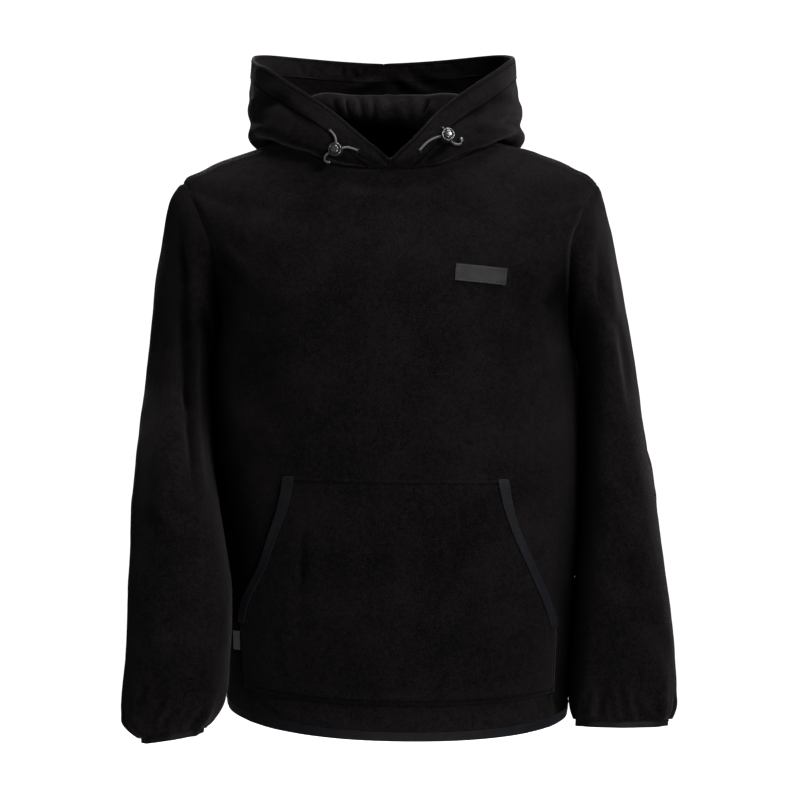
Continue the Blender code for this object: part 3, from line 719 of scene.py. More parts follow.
# ------------------------------------------------------------------- drape
# Creases: the side they are seen from, a line over the cloth in millimetres, the
# width and height of the ridge (a trough is negative), and on which side of the
# line the opposite swell lies (1 left, -1 right, 0 both).  A front line is given in
# the plane 50 mm ahead of the neck, as the camera sees it.
CREASES = (
    # hood, outside
    ("front", ((-182, 50), (-167, 66), (-153, 76), (-138, 80), (-120, 76)), 8, -3.4, 0),
    ("front", ((-146, 86), (-135, 73), (-120, 62), (-105, 50), (-86, 34)), 5.5, -2.0, 0),
    ("front", ((-160, 30), (-136, 34), (-104, 22)), 12, 1.6, 0),
    ("front", ((-168, 40), (-146, 50), (-118, 36)), 13, 2.2, 0),
    ("front", ((-151, 12), (-120, 20), (-91, 12)), 8, -1.8, 0),
    ("front", ((-59, -2), (-38, 5), (-22, -2)), 5, -1.4, 0),
    ("front", ((78, 46), (91, 59), (104, 69), (120, 80), (140, 86)), 7, -2.8, 0),
    ("front", ((91, 40), (110, 50), (128, 60), (148, 66)), 8, 2.4, 0),
    ("front", ((86, 33), (110, 38), (133, 42), (153, 39)), 7, -1.8, 0),
    ("front", ((32, -2), (44, 9), (59, 19), (72, 30)), 5, -2.6, -1),
    # hood, folds inside the mouth
    ("front", ((29, 44), (38, 56), (53, 67)), 4, -2.4, 0),
    ("front", ((36, 42), (49, 57), (64, 67)), 4, 1.6, 0),
    # gathers on the inner ridge
    ("front", ((-76, 86), (-72, 72), (-64, 56)), 4.4, -3.0, 0),
    ("front", ((-61, 88), (-57, 66), (-49, 44)), 4.6, -3.6, 0),
    ("front", ((-43, 88), (-40, 70), (-38, 50)), 4.0, -2.4, 0),
    ("front", ((-26, 88), (-24, 68), (-27, 46)), 4.6, -3.8, 0),
    ("front", ((-6, 87), (-3, 74), (0, 58)), 5.0, -1.8, 0),
    ("front", ((19, 85), (16, 68), (20, 50)), 4.8, -2.8, 0),
    ("front", ((42, 82), (35, 64), (24, 46)), 4.8, -3.6, 0),
    ("front", ((-52, 87), (-48, 70), (-44, 52)), 5.4, 2.6, 0),
    ("front", ((-34, 88), (-32, 70), (-32, 52)), 5.4, 2.6, 0),
    ("front", ((6, 86), (7, 70), (9, 52)), 6.5, 2.6, 0),
    ("front", ((30, 84), (26, 68), (22, 54)), 5.4, 2.4, 0),
    # gathers on the back of the rim casing
    ("front", ((-117, 125), (-114, 117), (-112, 109)), 3.0, -1.7, 0),
    ("front", ((-93, 122), (-91, 114), (-88, 106)), 3.0, -1.7, 0),
    ("front", ((-63, 122), (-62, 114), (-60, 106)), 3.0, -2.7, 0),
    ("front", ((-51, 121), (-49, 112), (-43, 104)), 3.2, -3.1, 0),
    ("front", ((-37, 121), (-35, 113), (-31, 105)), 3.0, -2.7, 0),
    ("front", ((-25, 122), (-25, 114), (-22, 106)), 3.0, -1.7, 0),
    ("front", ((4, 122), (6, 114), (8, 106)), 3.0, -2.0, 0),
    ("front", ((16, 123), (20, 116), (25, 108)), 3.2, -2.7, 0),
    ("front", ((38, 125), (44, 117), (49, 109)), 3.2, -2.0, 0),
    ("front", ((67, 127), (73, 119), (79, 112)), 3.2, -2.0, 0),
    # inside the pouch
    ("front", ((-4, 105), (4, 95), (24, 84)), 5, -4.6, 0),
    ("front", ((4, 105), (27, 95), (60, 82)), 6, 4.4, 0),
    ("front", ((20, 105), (50, 97), (92, 88)), 6, -3.6, 0),
    ("front", ((-10, 105), (-38, 97), (-72, 90)), 6, 3.6, 0),
    ("front", ((-16, 98), (-42, 91), (-70, 84)), 5, -3.4, 0),
    # chest and neck
    ("front", ((-198, -100), (-167, -74), (-131, -54), (-86, -33)), 13, 2.2, 0),
    ("front", ((-218, -92), (-196, -112), (-176, -133)), 9, 1.8, 0),
    ("front", ((-215, -112), (-198, -130), (-182, -156)), 9, -2.0, 0),
    ("front", ((19, -110), (0, -139), (-16, -166), (-32, -193)), 12, -1.2, 0),
    ("front", ((-72, -14), (-32, -25), (9, -26), (49, -17)), 6, -1.0, 0),
    ("front", ((-95, -22), (-41, -38), (13, -40), (72, -27)), 9, 1.2, 0),
    ("front", ((210, -74), (184, -101), (153, -121), (121, -130)), 13, 1.8, 0),
    ("front", ((214, -128), (193, -151), (171, -178)), 10, -1.8, 0),
    # belly
    ("front", ((132, -189), (131, -251), (135, -323)), 22, -2.0, 0),
    ("front", ((-158, -215), (-162, -274), (-155, -332)), 22, -1.8, 0),
    ("front", ((40, -210), (30, -290), (36, -360)), 30, 1.6, 0),
    # pocket
    ("front", ((-116, -436), (-113, -482), (-112, -523), (-114, -568), (-125, -622)), 10, -2.2, 0),
    ("front", ((-112, -430), (-111, -475), (-114, -535)), 4.5, -1.8, 0),
    ("front", ((13, -482), (19, -527), (16, -586)), 12, -1.0, 0),
    ("front", ((85, -523), (99, -568), (108, -613)), 12, -1.4, 0),
    ("front", ((-150, -560), (-140, -600), (-146, -630)), 9, -1.3, 0),
    ("front", ((-60, -440), (-50, -500), (-56, -560)), 16, 1.1, 0),
    ("front", ((50, -450), (62, -520), (60, -590)), 16, 1.1, 0),
    ("front", ((-166, -627), (-122, -639), (-59, -648), (4, -650), (103, -645), (176, -635)), 6, 1.1, 0),
    ("front", ((-167, -644), (-155, -662), (-135, -672)), 5, -1.8, 0),
    ("front", ((-59, -664), (-36, -678)), 5, -1.0, 0),
    ("front", ((60, -660), (72, -680)), 5, -1.0, 0),
    ("front", ((189, -644), (200, -662)), 5, -1.4, 0),
    # sleeves, front
    ("front", ((-270, -40), (-260, -130), (-255, -198), (-250, -290), (-240, -440)), 8, -5.8, 0),
    ("front", ((-284, -80), (-279, -150), (-277, -230)), 10, 1.6, 0),
    ("front", ((-310, -420), (-288, -452), (-263, -477)), 9, -2.0, 0),
    ("front", ((-300, -400), (-276, -430), (-250, -452)), 9, 1.6, 0),
    ("front", ((-292, -568), (-265, -545), (-238, -536)), 10, -1.8, 0),
    ("front", ((-300, -600), (-272, -578), (-246, -568)), 10, 1.6, 0),
    ("front", ((-315, -520), (-306, -580), (-308, -630)), 10, -1.5, 0),
    ("front", ((246, -52), (236, -99), (230, -162), (232, -233)), 9, 2.0, 0),
    ("front", ((262, -80), (262, -162), (264, -233), (266, -300)), 10, 2.2, 0),
    ("front", ((250, -86), (248, -160), (250, -230)), 9, -2.0, 0),
    ("front", ((256, -428), (283, -482), (301, -541)), 13, -1.8, 0),
    ("front", ((240, -480), (262, -540), (292, -590)), 13, 1.5, 0),
    ("front", ((250, -300), (276, -350), (288, -410)), 14, -1.4, 0),
    # gathers over the cuffs, front
    ("front", ((-300, -682), (-286, -667), (-279, -645)), 4.5, -2.0, 0),
    ("front", ((-285, -684), (-272, -669), (-259, -656)), 4.8, -2.4, 0),
    ("front", ((-272, -685), (-256, -671), (-243, -661)), 4.2, -1.8, 0),
    ("front", ((-254, -682), (-241, -670), (-227, -660)), 4.5, -2.0, 0),
    ("front", ((-315, -669), (-306, -649), (-302, -625)), 4.8, -1.6, 0),
    ("front", ((-293, -682), (-280, -664), (-270, -645)), 3.6, 1.3, 0),
    ("front", ((-264, -684), (-249, -668), (-236, -655)), 3.6, 1.3, 0),
    ("front", ((228, -671), (234, -655), (234, -636)), 4.5, -2.0, 0),
    ("front", ((251, -671), (251, -655), (258, -634)), 4.8, -2.2, 0),
    ("front", ((266, -671), (264, -652), (262, -640)), 4.2, -1.4, 0),
    ("front", ((281, -671), (279, -655), (274, -630)), 4.8, -2.2, 0),
    ("front", ((301, -671), (297, -660), (290, -645)), 4.2, -1.8, 0),
    ("front", ((319, -669), (317, -655), (323, -638)), 4.5, -1.8, 0),
    ("front", ((241, -671), (243, -655), (245, -636)), 3.8, 1.3, 0),
    ("front", ((291, -671), (288, -655), (284, -638)), 3.8, 1.3, 0),
    # back
    ("back", ((212, -120), (180, -150), (120, -176), (60, -186)), 12, -2.8, 0),
    ("back", ((-212, -116), (-182, -148), (-124, -172), (-70, -184)), 12, -2.6, 0),
    ("back", ((205, -180), (160, -215), (104, -232)), 12, 2.0, 0),
    ("back", ((-205, -176), (-166, -214), (-110, -236)), 12, 2.0, 0),
    ("back", ((196, -255), (150, -310), (110, -380)), 14, -2.8, 0),
    ("back", ((-196, -250), (-146, -306), (-108, -372)), 14, -2.6, 0),
    ("back", ((60, -380), (84, -470), (78, -580)), 16, 2.2, 0),
    ("back", ((-46, -390), (-64, -480), (-60, -600)), 16, -2.2, 0),
    ("back", ((8, -250), (2, -340), (12, -440)), 20, -1.6, 0),
    ("back", ((130, -500), (140, -570), (132, -640)), 12, -2.0, 0),
    ("back", ((-130, -490), (-142, -560), (-136, -635)), 12, 2.0, 0),
    ("back", ((-100, -20), (-40, -44), (30, -46), (96, -24)), 8, 1.2, 0),
    # sleeves, back
    ("back", ((-262, -90), (-262, -170), (-266, -250)), 10, -2.4, 0),
    ("back", ((-240, -300), (-262, -345), (-290, -372)), 9, -2.6, 0),
    ("back", ((-238, -330), (-262, -378), (-294, -410)), 9, 2.0, 0),
    ("back", ((-244, -375), (-266, -420), (-296, -452)), 9, -2.2, 0),
    ("back", ((-270, -480), (-276, -540), (-272, -610)), 11, -1.8, 0),
    ("back", ((262, -90), (260, -170), (262, -250)), 10, -2.4, 0),
    ("back", ((238, -310), (262, -352), (292, -376)), 9, -2.6, 0),
    ("back", ((240, -345), (264, -388), (298, -416)), 9, 2.0, 0),
    ("back", ((246, -390), (268, -432), (300, -460)), 9, -2.2, 0),
    ("back", ((276, -490), (284, -550), (280, -615)), 11, -1.8, 0),
    # hood, back and sides
    ("back", ((-120, 90), (-96, 50), (-90, 0)), 12, -2.6, 0),
    ("back", ((112, 92), (88, 52), (84, 4)), 12, -2.6, 0),
    ("back", ((-70, 110), (-54, 60), (-50, 10)), 10, 2.0, 0),
    ("back", ((62, 110), (46, 64), (42, 14)), 10, 2.0, 0),
    ("back", ((-150, 20), (-110, -20), (-60, -40)), 8, -2.0, 0),
    ("back", ((142, 24), (104, -16), (52, -38)), 8, -2.0, 0),
    ("left", ((-10, 92), (40, 88), (90, 92)), 7, -2.6, 0),
    ("left", ((0, 50), (50, 40), (100, 46)), 10, 2.0, 0),
    ("right", ((-10, 90), (40, 86), (90, 90)), 7, -2.6, 0),
    ("right", ((0, 48), (50, 38), (100, 44)), 10, 2.0, 0),
    # sleeves, outer sides
    ("left", ((30, -120), (10, -200), (0, -290)), 12, -2.2, 0),
    ("left", ((40, -300), (0, -350), (-40, -372)), 10, -2.4, 0),
    ("left", ((34, -340), (-8, -392), (-50, -412)), 10, 2.0, 0),
    ("left", ((20, -470), (-10, -540), (-16, -600)), 10, -1.8, 0),
    ("left", ((-30, -672), (-36, -655), (-42, -630)), 3.4, -2.0, 0),
    ("left", ((-52, -672), (-54, -652), (-50, -632)), 3.4, -1.8, 0),
    ("left", ((-70, -672), (-66, -654), (-64, -640)), 3.2, -1.6, 0),
    ("right", ((30, -120), (16, -200), (4, -280)), 12, -2.2, 0),
    ("right", ((0, -310), (-44, -356), (-90, -378)), 10, -2.4, 0),
    ("right", ((-20, -350), (-64, -400), (-104, -420)), 10, 2.0, 0),
    ("right", ((-80, -480), (-104, -550), (-108, -610)), 10, -1.8, 0),
    ("right", ((-86, -678), (-92, -660), (-98, -636)), 3.4, -2.0, 0),
    ("right", ((-108, -680), (-110, -660), (-108, -640)), 3.4, -1.8, 0),
    ("right", ((-126, -680), (-124, -662), (-122, -646)), 3.2, -1.6, 0),
    # gathers over the cuffs, back
    ("back", ((-246, -672), (-248, -655), (-256, -636)), 3.2, -2.0, 0),
    ("back", ((-266, -676), (-268, -658), (-270, -636)), 3.4, -2.0, 0),
    ("back", ((-290, -680), (-288, -660), (-284, -640)), 3.4, -2.0, 0),
    ("back", ((244, -664), (248, -648), (254, -630)), 3.2, -2.0, 0),
    ("back", ((268, -664), (268, -646), (266, -628)), 3.4, -2.0, 0),
    ("back", ((296, -664), (292, -648), (288, -632)), 3.4, -2.0, 0),
)

# Places where hard things sit on the cloth, which stays as it is there: middle and reach.
STILL = (
    ((-0.070, -0.097, 0.015), 0.016),
    ((-0.074, -0.096, 0.034), 0.010),
    ((-0.048, -0.101, 0.016), 0.010),
    ((-0.082, -0.096, 0.004), 0.010),
    ((0.062, -0.092, 0.031), 0.016),
    ((0.058, -0.092, 0.040), 0.010),
    ((0.038, -0.099, 0.023), 0.014),
    ((0.078, -0.094, 0.024), 0.010),
)

# Places where the cloth swells or hangs in a little: which pieces, middle, reach and
# the move there, in millimetres.
SWELLS = (
    ("hood", (-178, 0, 85), (25, 90, 15), (-3.6, 0, 0)),
    ("hood", (-176, 0, 56), (20, 90, 9), (4.4, 0, 0)),
    ("hood", (-170, 0, 23), (16, 90, 8), (8.4, 0, 0.6)),
    ("hood", (-172, 0, 130), (10, 60, 8), (0.6, 0, -2.4)),
    ("hood", (151, 0, 83), (25, 90, 14), (2.7, 0, 0)),
    ("hood", (150, 0, 55), (20, 90, 8), (-9.0, 0, 0)),
    ("hood", (-8, 170, 125), (30, 60, 14), (0, 0, 2.0)),
    ("hood", (108, 100, 133), (32, 120, 14), (0, 0, 2.0)),
    ("hood", (147, 0, 128), (8, 60, 10), (1.0, 0, 2.0)),
    ("", (-257, 0, -19), (13, 60, 11), (-4.0, 0, 4.4)),
    ("", (-232, 0, -6), (14, 60, 10), (0, 0, -3.0)),
    ("", (164, 0, 17), (16, 60, 12), (0, 0, 2.4)),
    ("", (218, 0, -6), (15, 60, 12), (0, 0, -4.4)),
    ("", (246, 0, -24), (8, 60, 9), (0.8, 0, 2.4)),
    ("sleeve_right", (-283, 0, -86), (46, 110, 58), (6.4, 0, 0)),
    ("sleeve_right", (-306, 0, -286), (60, 110, 62), (-4.4, 0, 0)),
    ("sleeve_right", (-317, 0, -402), (30, 70, 30), (2.2, 0, 0)),
    ("sleeve_right", (-226, 0, -330), (16, 90, 40), (2.4, 0, 0)),
    ("sleeve_left", (222, 0, -255), (16, 90, 34), (-2.8, 0, 0)),
    ("sleeve_right", (-328, 0, -585), (30, 70, 32), (-2.0, 0, 0)),
    ("sleeve_right", (-330, 0, -664), (22, 70, 16), (2.4, 0, 1.0)),
    ("sleeve_right", (-315, 0, -693), (11, 70, 10), (-4.6, 0, -4.0)),
    ("sleeve_right", (-230, 0, -682), (9, 70, 9), (1.0, 0, -7.0)),
    ("sleeve_left", (256, 0, -58), (22, 70, 24), (-2.2, 0, 0)),
    ("sleeve_left", (289, 0, -232), (56, 110, 84), (4.9, 0, 0)),
    ("pocket", (163, -105, -455), (34, 70, 52), (-7.6, -1.6, 0)),
    ("pocket", (178, -80, -515), (36, 70, 48), (-13.0, -4.0, 0)),
    ("pocket", (186, -80, -610), (34, 70, 36), (-5.0, -1.0, 0)),
    ("pocket", (-160, -105, -450), (34, 70, 52), (5.0, -1.0, 0)),
    ("pocket", (-176, -80, -492), (36, 70, 42), (14.0, -4.0, 0)),
    ("hood", (-4, 86, 98), (86, 13, 11), (0, 6.5, -0.6)),
    ("hood", (0, 80, 50), (74, 14, 15), (0, 9.0, 0)),
    ("sleeve_left", (334, 0, -669), (14, 70, 8), (6.0, 0, -1.0)),
    ("sleeve_left", (219, 0, -677), (10, 70, 9), (-1.6, 0, -8.0)),
    ("front back", (0, 0, -702), (46, 200, 12), (0, 0, -2.4)),
    ("front back", (-208, 0, -648), (24, 70, 22), (-6.0, 0, 0)),
    ("front back", (-178, 0, -672), (24, 70, 12), (0, 0, -1.2)),
    ("front back", (198, 0, -681), (16, 70, 14), (3.0, 0, -5.4)),
    ("front back", (223, -20, -350), (12, 60, 150), (0.8, 0, 0)),
    ("front back", (-224, -20, -340), (12, 60, 150), (-0.8, 0, 0)),
    ("front back", (220, -20, -235), (12, 60, 18), (1.6, 0, 0)),
    ("front back", (-223, -20, -235), (12, 60, 18), (-1.6, 0, 0)),
    ("sleeve_left", (226, -15, -345), (14, 50, 150), (-1.2, 0, 0)),
    ("sleeve_left", (229, 60, -300), (22, 32, 120), (-6.0, 0, 0)),
    ("sleeve_right", (-226, -15, -330), (14, 50, 150), (1.2, 0, 0)),
    ("sleeve_right", (-232, 52, -285), (22, 30, 100), (7.0, 0, 0)),
)


def whole_cloth():
    """The outer faces of every panel as one surface to look a place up on."""
    points, faces = [], []
    for skin in skins.values():
        base = len(points)
        points += [tuple(point) for point in skin.points]
        for index in sorted(skin.outer):
            faces.append([base + corner for corner in skin.piece.data.polygons[index].vertices])
    return BVHTree.FromPolygons(points, faces)


def sight(side, across, up):
    """The ray that looks at a place of a crease from one side."""
    if side == "front":
        return EYE, (Vector((across, -0.05, up)) - EYE).normalized()
    if side == "back":
        return Vector((across, 1, up)), Vector((0, -1, 0))
    way = 1 if side == "left" else -1
    return Vector((way, across, up)), Vector((-way, 0, 0))


def crease_line(tree, side, line):
    """A crease's points on the cloth and the way out there, every 4 mm, on one layer of it."""
    line = np.array(line) / 1000
    spans = np.linalg.norm(np.diff(line, axis=0), axis=1)
    run = np.concatenate(([0], np.cumsum(spans)))
    steps = np.linspace(0, run[-1], max(3, round(run[-1] / 0.004)) + 1)
    places, ways = [], []
    for across, up in zip(np.interp(steps, run, line[:, 0]), np.interp(steps, run, line[:, 1])):
        start, look = sight(side, across, up)
        met, normal = tree.ray_cast(start, look)[:2]
        if met is not None:
            places.append(np.array(met))
            ways.append(-np.array(normal) if normal.dot(look) > 0 else np.array(normal))
    places, ways = np.array(places), np.array(ways)
    jumps = np.nonzero(np.linalg.norm(np.diff(places, axis=0), axis=1) > 0.014)[0] + 1
    kept = max(np.split(np.arange(len(places)), jumps), key=len)
    places, ways = places[kept], ways[kept]
    for _ in range(3):
        places[1:-1] = (places[:-2] + 2 * places[1:-1] + places[2:]) / 4
        ways[1:-1] = (ways[:-2] + 2 * ways[1:-1] + ways[2:]) / 4
    return places, ways / np.linalg.norm(ways, axis=1)[:, None]


def press(points, shift, worn, places, ways, width, height, side):
    """Add one crease's ridge or trough to the shift of the points near it, and note how steep it lies: painted light
    on a ridge and painted shade in a trough."""
    reach = 3.6 * width
    low, high = places.min(0) - reach, places.max(0) + reach
    near = np.nonzero(((points > low) & (points < high)).all(1))[0]
    if not len(near):
        return
    spans = np.diff(places, axis=0)
    lengths = np.linalg.norm(spans, axis=1)
    run = np.concatenate(([0], np.cumsum(lengths)))
    best = np.full(len(near), 1e9)
    foot = np.zeros(len(near))
    off = np.zeros((len(near), 3))
    for n, span in enumerate(spans):
        apart = points[near] - places[n]
        share = np.clip(apart @ span / lengths[n] ** 2, 0, 1)
        gap = apart - share[:, None] * span
        size = np.linalg.norm(gap, axis=1)
        closer = size < best
        best[closer] = size[closer]
        foot[closer] = (run[n] + share * lengths[n])[closer]
        off[closer] = gap[closer]
    way = np.stack([np.interp(foot, run, ways[:, k]) for k in range(3)], 1)
    way /= np.linalg.norm(way, axis=1)[:, None]
    along = np.stack([np.interp(foot, (run[1:] + run[:-1]) / 2, spans[:, k]) for k in range(3)], 1)
    along /= np.linalg.norm(along, axis=1)[:, None]
    deep = (off * way).sum(1)
    across = (off * np.cross(way, along)).sum(1)
    past = (off * along).sum(1)
    total = run[-1]
    taper = np.clip(np.minimum(foot, total - foot) / (0.3 * total), 0, 1)
    taper = taper * taper * (3 - 2 * taper)
    taper = taper * np.exp(-((past / width) ** 2)) * np.clip((0.011 - np.abs(deep)) / 0.004, 0, 1)
    swell = across / width
    ridge = np.exp(-(swell**2))
    if side:
        ridge -= 0.6 * np.exp(-(((swell - 1.7 * side) / 1.1) ** 2))
    else:
        ridge -= 0.3 * (np.exp(-(((swell - 1.8) / 1.1) ** 2)) + np.exp(-(((swell + 1.8) / 1.1) ** 2)))
    wander = np.array([0.78 + 0.5 * noise.noise(Vector(place) * 38) for place in places])
    wander = np.interp(foot, run, wander)
    shift[near] += way * (height * ridge * taper * wander)[:, None]
    # Painted light on the ridge, painted shade in the trough.
    worn[near] += height / width * ridge * taper * wander


def known_points(places):
    tree = KDTree(len(places))
    for at, place in enumerate(places):
        tree.insert(place, at)
    tree.balance()
    return tree


def seam_line_points():
    """Points every millimetre or so along each seam."""
    found = []
    for node, skin in skins.items():
        for name, run in runs[node]:
            if name != "free":
                place = skin.points[run]
                for a, b in zip(place[:-1], place[1:]):
                    steps = max(1, round(np.linalg.norm(b - a) / 0.0012))
                    found += [a + (b - a) * step / steps for step in range(steps)]
    return np.array(found)


def glide(points, shift):
    """Let moves slide over the front panel at the same height above it."""
    under = skins["front"].face_tree(skins["front"].outer)
    slid = shift.copy()
    for at, move in enumerate(shift):
        if np.linalg.norm(move) > 0.0001:
            start, way = under.find_nearest(points[at])[:2]
            high = (Vector(points[at]) - start).dot(way)
            stop, way = under.find_nearest(points[at] + move)[:2]
            slid[at] = np.array(stop + way * high) - points[at]
    return slid


def softness(place, far):
    """How far out soft cloth lies: sunk and puckered at a seam, a little uneven everywhere."""
    spot = Vector(place)
    lift = 0
    if far < 0.03:
        pucker = 1 + 0.6 * noise.noise(spot * 75)
        lift -= 0.0012 * pucker * math.exp(-((far / 0.0034) ** 2))
        lift += 0.0005 * math.exp(-(((far - 0.009) / 0.0045) ** 2))
    lift += 0.0016 * noise.noise(spot * 11) + 0.0007 * noise.noise(spot * 27 + Vector((3, 7, 1)))
    return lift + 0.0002 * noise.noise(spot * 90)


def drape():
    """Give the cloth its creases, its sunk seams and the softness of worn fleece, and gather the painted light and
    shade of its creases.
    """
    cloth = whole_cloth()
    creases = [
        (*crease_line(cloth, side, line), width / 1000, height / 1000, swell)
        for side, line, width, height, swell in CREASES
    ]
    seams = known_points(seam_line_points())
    for node, skin in skins.items():
        points = skin.points
        shift = np.zeros(points.shape)
        # Painted light and shade of the creases, gathered for the colour.
        skin.worn = np.zeros(len(points))
        for parts, middle, reach, move in SWELLS:
            if not parts or any(node.startswith(part) for part in parts.split()):
                far = (points * 1000 - np.array(middle)) / np.array(reach)
                shift += np.exp(-(far**2).sum(1))[:, None] * np.array(move) / 1000
        if node == "pocket":
            shift = glide(points, shift)
        for places, ways, width, height, swell in creases:
            press(points, shift, skin.worn, places, ways, width, height, swell)
        lift = np.array([softness(place, seams.find(place)[2]) for place in points])
        shift += skin.out * lift[:, None]
        for middle, reach in STILL:
            near = np.linalg.norm(points - np.array(middle), axis=1) / reach
            shift *= (1 - np.exp(-(near**4)))[:, None]
        skin.shift = shift
        set_points(skin.piece.data, points + shift)


drape()


def follow(piece, *cloths):
    """Move a piece that is sewn on as the cloth under it moved."""
    known = known_points(np.concatenate([skins[node].points for node in cloths]))
    shifts = np.concatenate([skins[node].shift for node in cloths])
    points = points_of(piece.data)
    moved = points.copy()
    for at, place in enumerate(points):
        total, weight = np.zeros(3), 0
        for found, index, far in known.find_n(place, 6):
            share = 1 / (far + 0.0015) ** 2
            total += shifts[index] * share
            weight += share
        moved[at] += total / weight
    set_points(piece.data, moved)


follow(tapes["hem_binding"], "front", "back")
for side in ("left", "right"):
    follow(tapes["cuff_binding_" + side], "sleeve_" + side)
    follow(tapes["pocket_binding_" + side], "pocket")
follow(patch, "front")
follow(tab, "front", "back")


# ------------------------------------------------------------------- rolled edges and rows
def smooth_line(line, rounds=3):
    line = np.array(line, float)
    for _ in range(rounds):
        line[1:-1] = (line[:-2] + 2 * line[1:-1] + line[2:]) / 4
    return line


def now(skin):
    return skin.points + skin.shift


def walk(skin, run, reach, tree):
    """A line on the cloth that keeps its distance from a cut edge."""
    places = now(skin)[run].copy()
    ways = np.array([skin.into[index] for index in run])
    for _ in range(6):
        ways[1:-1] = (ways[:-2] + ways[1:-1] + ways[2:]) / 3
    ways /= np.linalg.norm(ways, axis=1)[:, None]
    steps = max(3, round(reach / 0.0015))
    for at in range(len(places)):
        way = Vector(ways[at])
        place, normal = tree.find_nearest(places[at])[:2]
        for _ in range(steps):
            way = (way - normal * way.dot(normal)).normalized()
            place, normal = tree.find_nearest(place + way * (reach / steps))[:2]
        places[at] = place
    return smooth_line(places, 6)


# The hood's face edge: half its folded thickness, how deep the roll is, and its reach.
ROLL_HALF = 0.0020
ROLL_DEEP = 0.0045
ROLL_REACH = 0.009


def roll_edge(skin, run):
    """Turn the square face edge of the hood into the round roll of a folded hem."""
    points = now(skin)
    rim = points[run]
    outs = smooth_line([skin.out[index] for index in run])
    intos = smooth_line([skin.into[index] for index in run])
    outs /= np.linalg.norm(outs, axis=1)[:, None]
    intos /= np.linalg.norm(intos, axis=1)[:, None]
    line = known_points(rim)
    moved = points.copy()
    for index, place in enumerate(points):
        found, at, far = line.find(place)
        if far > ROLL_REACH:
            continue
        out = outs[at]
        into = intos[at] - out * out.dot(intos[at])
        into /= np.linalg.norm(into)
        heart = rim[at] - out * ROLL_HALF
        apart = place - heart
        deep, high = apart @ into, apart @ out
        if deep > ROLL_DEEP:
            continue
        along = apart - into * deep - out * high
        size = max(abs(high), ROLL_HALF)
        path = min(abs(high) + max(deep, 0), size + ROLL_DEEP) / (size + ROLL_DEEP)
        turn = path * math.pi / 2
        new_deep = ROLL_DEEP * (1 - math.cos(turn))
        new_high = math.copysign(size * math.sin(turn), high)
        moved[index] = heart + along + into * new_deep + out * new_high
    skin.shift += moved - points
    set_points(skin.piece.data, moved)


def free_run(node):
    return max((run for name, run in runs[node] if name == "free"), key=len)


def to_line(points, line):
    """How far each point is from a line of points."""
    dense = []
    for a, b in zip(line[:-1], line[1:]):
        steps = max(1, round(np.linalg.norm(b - a) / 0.001))
        dense += [a + (b - a) * step / steps for step in range(steps)]
    tree = known_points(dense)
    return np.array([tree.find(place)[2] for place in points])


def mark(piece, name, values):
    layer = piece.data.attributes.new(name, "FLOAT", "POINT")
    layer.data.foreach_set("value", np.asarray(values, np.float32))


# The cloth over a cuff: where the fold begins, how far up it fades, and its swell and droop.
FOLD_START = 0.003
FOLD_FADE = 0.017
FOLD_SWELL = 0.0022
FOLD_DROOP = 0.0062


def overhang(node):
    """Let the gathered cloth swell out a little over the edge of its binding."""
    skin = skins[node]
    points = now(skin)
    rim = known_points(points[free_run(node)])
    middle = points[free_run(node)].mean(0)
    for at, place in enumerate(points):
        far = rim.find(place)[2]
        if not skin.inside[at] and 0.0002 < far < 0.06:
            swell = far / FOLD_START if far < FOLD_START else math.exp(-(((far - FOLD_START) / FOLD_FADE) ** 2))
            droop = FOLD_DROOP + 0.0016 * noise.noise(Vector(place) * 90)
            out = (place - middle) * (1, 1, 0)
            out /= np.linalg.norm(out)
            skin.shift[at] += swell * (out * FOLD_SWELL - np.array((0, 0, droop)))
    set_points(skin.piece.data, now(skin))


for side in ("left", "right"):
    roll_edge(skins["hood_" + side], free_run("hood_" + side))
    overhang("sleeve_" + side)
sewn = known_points(seam_line_points())


# ------------------------------------------------------------------- rows and painted light and shade of the nap
# Each panel's nap has two marks: "row", how far a point is from a row of stitches in millimetres, and "light", the
# painted light and shade of its colour, from 0 in a deep fold or the hollow of the neck to 1 where it is painted
# lightest.
# PLAIN is the even level of the painted light.
PLAIN = 0.5
BODY = ("front", "back")
SLEEVES = ("sleeve_left", "sleeve_right")
CASING_WIDTH = 0.026
FACE_EDGE_ROW = 0.0046
POCKET_ROW = 0.005
TAPE_ROW = 0.0086
facing = {node: skins[node].face_tree(skins[node].outer) for node in BODY + SLEEVES}


def hood_marks(node, skin, points):
    """The hood has two rows round its face, painted light inside its casing at the back and painted shade in the
    hollow of the neck.
    """
    far = to_line(points, points[free_run(node)]) * 1000
    row = np.where(far < 12, far - 4.6, far - 26)
    across, deep, up = points.T
    limit = 0.056 - 0.25 * np.maximum(across, 0) + 2.5 * np.minimum(across, 0) ** 2
    # Painted shade inside near the neck, down to black below the line "limit".
    collar = skin.inside & (deep > 0) & (deep < 0.13) & (up < 0.11)
    # Painted light on the inside of the casing at the back.
    light = np.where(skin.inside & (far < 27) & (deep > 0.1), 0.72, PLAIN)
    return row, np.where(collar, 0.95 * np.clip((up - limit) / 0.030, 0, 1), light)


def pocket_marks(node, skin, points):
    """The pocket has a row just inside its edge, where the cloth is pressed thin."""
    edges = [to_line(points, points[run]) for _, run in runs[node]]
    edge = np.min(edges, axis=0) * 1000
    thin = np.where(skin.inside, 0, 0.0014 * np.clip(1 - edge / 7, 0, 1) ** 2)
    skin.shift -= skin.out * thin[:, None]
    set_points(skin.piece.data, now(skin))
    return edge - 5, np.full(len(points), PLAIN)


